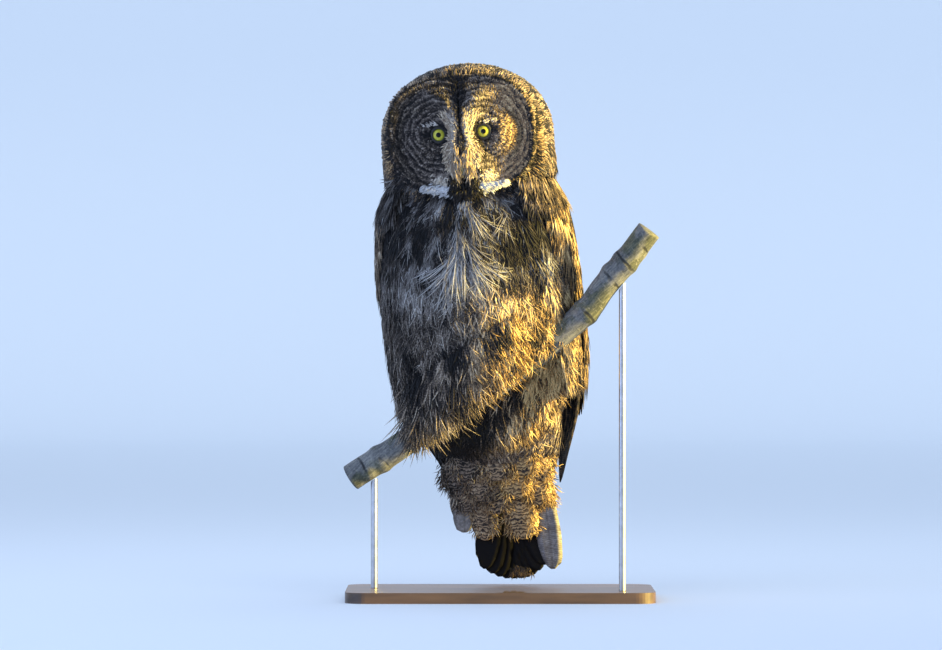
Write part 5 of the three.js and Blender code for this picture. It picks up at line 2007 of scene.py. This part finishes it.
# golden brown tips in the middle of the tail
x, z = 9 + rng.normal(0, 8, TIP_TUFTS), rng.uniform(26, 38, TIP_TUFTS)
root = columns(x, tail_y(z) - 15, z)
flow = unit(columns(rng.normal(0, 0.25, TIP_TUFTS), 0, -1.0))
normal = along_skin(np.tile([0.0, -1.0, 0.0], (TIP_TUFTS, 1)), flow)
length = rng.uniform(5, 10, TIP_TUFTS)
tone = 0.64 + rng.normal(0, 0.12, TIP_TUFTS)
tip_tufts = fan(root, normal, flow, length, 2.0, tone, body_cell(root), locks=3, splay=0.7, rise=0.08,
                hug=0.10, warmth=0.9, sway=0.7)
fluff = [*covert_fluff(UNDERTAIL, -1), *covert_fluff(UPPERTAIL, 1), tip_tufts]
coat_piece("covert_fluff", fluff, barred_finish, "tail_feathers", sections=2)

# %% [markdown]
# ## Finish of the eyes
# A taxidermist's eye is a glass dome with the iris painted behind it. A separate clear dome would catch
# noise in the render, so one ball has a thin gloss coat over a painted front. The iris is drawn by the
# distance from the line of sight.


# %% Finish of the eyes
def eye_finish(name, side):
    finish = Finish(name, Roughness=0.22, Specular_IOR_Level=0.14, Coat_Weight=0.15, Coat_Roughness=0.03)
    centre = head_place @ Vector((side * EYE_SIDE, -EYE_DEPTH, EYE_HEIGHT)) * MM
    across = Vector(head_place.to_3x3() @ Vector((1, 0, 0)))
    up = Vector(head_place.to_3x3() @ Vector((0, 0, 1)))
    offset = finish.node("VectorMath", {"operation": "SUBTRACT"}, {0: finish.place(), 1: centre})
    u = finish.node("VectorMath", {"operation": "DOT_PRODUCT"}, {0: offset, 1: across}, out="Value")
    v = finish.node("VectorMath", {"operation": "DOT_PRODUCT"}, {0: offset, 1: up}, out="Value")
    far = finish.node("Math", {"operation": "SQRT"}, {0: u * u + v * v}) * (1 / MM)
    rays = finish.noise(500, 2.0)
    iris = finish.ramp(rays, [(0.3, (0.44, 0.38, 0.02)), (0.7, (0.64, 0.60, 0.08))])
    edge = finish.blend(finish.step(far, 5.8, 7.9), iris, (0.16, 0.17, 0.03, 1))
    whole = finish.blend(finish.step(far, 3.15, 3.45), (0.004, 0.004, 0.004, 1), edge)
    finish.feed("Base Color", whole)
    return finish


print("eyes", 2 * EYE_SIDE, "mm apart")

# %% [markdown]
# ## Eyes and lids
# A rim of bare dark skin holds each eye. Its section is drawn once and spun round the line of sight, as on
# a lathe, which gives an even rolled edge. A torus would have no lip inside.

# %% Eyes and lids
# radius and angle from the line of sight, round the lid's section
LID_SECTION = [(13.2, 1.45), (13.3, 0.9), (13.4, 0.66), (13.9, 0.60), (14.5, 0.66), (14.6, 0.9),
               (14.4, 1.45)]
lid_finish = speckled("lid skin", 600, (0.012, 0.011, 0.010), (0.035, 0.030, 0.026), Roughness=0.55)


def from_form(name, form, place, finish, replaces=()):
    bmesh.ops.transform(form, verts=form.verts, matrix=Matrix.Scale(MM, 4) @ place)
    bmesh.ops.recalc_face_normals(form, faces=form.faces)
    mesh = bpy.data.meshes.new(name)
    form.to_mesh(mesh)
    form.free()
    mesh.shade_smooth()
    print(f"{name}: {len(mesh.polygons)} faces")
    return new_object(name, mesh, finish, replaces)


for name, side in (("right", -1), ("left", 1)):
    ball = bmesh.new()
    bmesh.ops.create_uvsphere(ball, u_segments=48, v_segments=32, radius=EYE_RADIUS - 0.2)
    centre = Vector((side * EYE_SIDE, -EYE_DEPTH, EYE_HEIGHT))
    socket = head_place @ Matrix.Translation(centre)
    from_form(f"eyeball_{name}", ball, socket, eye_finish(f"eye {name}", side), (f"eye_{name}",))
    lid = bmesh.new()
    profile = []
    for radius, polar in LID_SECTION:
        profile.append(lid.verts.new((radius * math.sin(polar), -radius * math.cos(polar), 0)))
    edges = [lid.edges.new((a, b)) for a, b in zip(profile, profile[1:] + profile[:1])]
    bmesh.ops.spin(lid, geom=profile + edges, cent=(0, 0, 0), axis=(0, 1, 0), angle=2 * math.pi, steps=40,
                   use_merge=True)
    bmesh.ops.remove_doubles(lid, verts=lid.verts, dist=0.01)
    from_form(f"lid_{name}", lid, socket, lid_finish)

# %% [markdown]
# ## Tapered tubes
# A curve with a bevel makes an even tube, but the hooked bill tapers and the branch has knots all round it.
# So a ring of points is extruded along a line, and its radius is asked for at every step and angle.


# %% Tapered tubes
def tube_form(line, radius_at, sides):
    """A round form drawn along a line by extruding a ring. radius_at(share, angle) gives its radius."""
    line = np.asarray(line, float)
    form = bmesh.new()
    tangents = unit(np.gradient(line, axis=0))
    across = unit(np.cross(tangents[0], [0.31, 0.94, 0.12]))
    ring = bmesh.ops.create_circle(form, segments=sides, radius=1)["verts"]
    bmesh.ops.contextual_create(form, geom=ring)
    edges = list(form.edges)
    for i, (point, tangent) in enumerate(zip(line, tangents)):
        across = unit(across - tangent * np.dot(across, tangent))
        up = np.cross(tangent, across)
        if i:
            made = bmesh.ops.extrude_edge_only(form, edges=edges)["geom"]
            edges = [g for g in made if isinstance(g, bmesh.types.BMEdge)
                     and all(v in made for v in g.verts)]
            ring = [g for g in made if isinstance(g, bmesh.types.BMVert)]
        share = i / (len(line) - 1)
        for k, vertex in enumerate(ring):
            angle = 2 * math.pi * k / sides
            radius = radius_at(share, angle)
            vertex.co = point + across * radius * math.cos(angle) + up * radius * math.sin(angle)
    bmesh.ops.contextual_create(form, geom=ring)
    return form


# %% [markdown]
# ## Bill
# The bill is horn: a hooked upper half over a shorter lower one, almost hidden by the bristles. Its finish
# is glossy and drifts between two yellows. The talons get the same finish in near black.

# %% Bill
horn = speckled("bill horn", 260, (0.22, 0.17, 0.06), (0.42, 0.34, 0.13), Roughness=0.35, Coat_Weight=0.3)
talon_finish = speckled("talon horn", 400, (0.008, 0.007, 0.006), (0.035, 0.03, 0.026), pale_from=0.75,
                        Roughness=0.3, Coat_Weight=0.3)
upper_line = catmull([(0, -59, -24), (0, -71, -29), (0, -78, -37), (0, -81, -47), (0, -78, -57)], 22)
lower_line = catmull([(0, -57, -38), (0, -71, -41), (0, -78, -45), (0, -82, -52)], 14)
upper_form = tube_form(upper_line, lambda share, angle: mix(6.8, 0.7, share**1.6), 20)
lower_form = tube_form(lower_line, lambda share, angle: mix(5.6, 1.0, share**1.6), 16)
from_form("bill_top", upper_form, head_place, horn, ("bill_upper",))
from_form("bill_under", lower_form, head_place, horn, ("bill_lower",))

# %% [markdown]
# ## Form of the branch
# A young branch is smooth, with low rings round it and a few knobs. Displacement in the material would be
# lost in the export, so the rings and knobs are in the tube's radius. Both ends are cut.

# %% Form of the branch
KNOTS = [0.09, 0.31, 0.74, 0.9]
# share along the branch and angle of the small side knobs
KNOBS = [(0.05, 2.2), (0.13, 5.2), (0.86, 0.6), (0.94, 4.1)]


def branch_radius(share, angle):
    radius = BRANCH_RADIUS - 1.6 - 1.4 * share
    radius += sum(2.0 * math.exp(-(((share - knot) / 0.014) ** 2)) for knot in KNOTS)
    for place, turn in KNOBS:
        towards = max(0.0, math.cos(angle - turn)) ** 6
        radius += 4.0 * math.exp(-(((share - place) / 0.016) ** 2)) * towards
    return radius + 0.5 * math.sin(3 * angle + 9 * share) + 0.35 * math.sin(40 * share + angle)


branch_form = tube_form(branch_line, branch_radius, 48)
print("branch form:", len(branch_form.faces), "faces")

# %% [markdown]
# ## Grain of the bark
# Bark has fibres along the branch and cracks across it. Noise that is stretched along a turned axis gives
# both. The branch slants, so the axis is turned by a sum of x and z.

# %% Grain of the bark
bark = Finish("smooth bark", Roughness=0.8)
bark_x, bark_y, bark_z = bark.split(bark.place())
LEAN_X, LEAN_Z = 0.76, 0.65
lengthwise = bark_x * LEAN_X + bark_z * LEAN_Z
sideways = bark_z * LEAN_X - bark_x * LEAN_Z
bark_grain = bark.noise(26, 4.0)
fine_grain = bark.noise(420, 3.0)
long_grain = bark.node("CombineXYZ", None, {0: lengthwise * 60, 1: sideways * 420, 2: bark_y * 420})
cross_grain = bark.node("CombineXYZ", None, {0: lengthwise * 420, 1: sideways * 110, 2: bark_y * 110})
fibres = bark.noise(1.0, 3.0, at=long_grain)
cracks = bark.noise(1.0, 2.0, at=cross_grain)
lichen = bark.step(bark.noise(34, 3.0), 0.46, 0.60)
print("bark nodes so far:", len(bark.tree.nodes))

# %% [markdown]
# ## Scars and colour of the bark
# Dark ring scars stand at the knots and between them. They are masks over the length of the branch, bent by
# noise and broken, so that they don't look painted. Grey bark turns green where lichen grows.

# %% Scars and colour of the bark
MORE_SCARS = (0.045, 0.17, 0.845, 0.96)
scars = None
for knot in (*KNOTS, *MORE_SCARS):
    spot = branch_line[int(knot * BRANCH_STEPS)] * MM
    from_knot = lengthwise - float(LEAN_X * spot[0] + LEAN_Z * spot[2])
    shift = bark.noise(60, 2.0) * 0.010 - 0.005 + from_knot
    near = 1 - bark.step(abs(shift), 0.0006, 0.0030)
    scars = near if scars is None else bark.node("Math", {"operation": "MAXIMUM"}, {0: scars, 1: near})
scars = scars * bark.step(bark.noise(48, 2.0), 0.40, 0.58)
bark_tone = bark_grain * 0.35 + fine_grain * 0.25 + fibres * 0.4
BARK_STOPS = (0.36, 0.5, 0.64)
grey_tones = (0.050, 0.052, 0.052), (0.14, 0.14, 0.135), (0.27, 0.26, 0.23)
green_tones = (0.020, 0.024, 0.012), (0.060, 0.064, 0.032), (0.15, 0.145, 0.08)
grey_bark = bark.ramp(bark_tone, list(zip(BARK_STOPS, grey_tones)))
green_bark = bark.ramp(bark_tone, list(zip(BARK_STOPS, green_tones)))
bark_colour = bark.blend(lichen * 0.85, grey_bark, green_bark)
bark_colour = bark.blend(bark.step(cracks, 0.62, 0.70) * 0.5, bark_colour, (0.30, 0.28, 0.22, 1))
bark.feed("Base Color", bark.blend(scars * 0.92, bark_colour, (0.010, 0.010, 0.009, 1)))
bark.relief(fine_grain * 0.3 + fibres * 0.5 + bark_grain - scars * 0.8, 0.6, 0.001)
from_form("branch_bark", branch_form, Matrix(), bark, ("perch_branch",))

# %% [markdown]
# ## Stand and talons
# The base is stained wood with its grain along the board, and the rods are brushed steel. These solids and
# the talons have their final shape already, so they keep their meshes and only get a finish.

# %% Stand and talons
wood = speckled("stand wood", 9, (0.045, 0.026, 0.015), (0.12, 0.07, 0.04), detail=3.0,
                stretch=(1.0, 9.0, 9.0), Roughness=0.45, Coat_Weight=0.2)
metal = speckled("brushed steel", 90, (0.45, 0.45, 0.46), (0.60, 0.60, 0.61), Metallic=1.0, Roughness=0.34)
plain_nodes = {"stand_base": wood, "stand_rod_left": metal, "stand_rod_right": metal}
plain_nodes.update({node: talon_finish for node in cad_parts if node.startswith("talon_")})
for node, finish in plain_nodes.items():
    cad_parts[node].data.materials.clear()
    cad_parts[node].data.materials.append(finish.material)
print("solids that keep their mesh:", len(plain_nodes))

# %% [markdown]
# ## Closing
# The coat's triangles are added up over all its pieces. The dressed model has to keep to the
# imported box.

# %% Close
print("coat triangles:", sum(pieces_made.values()))
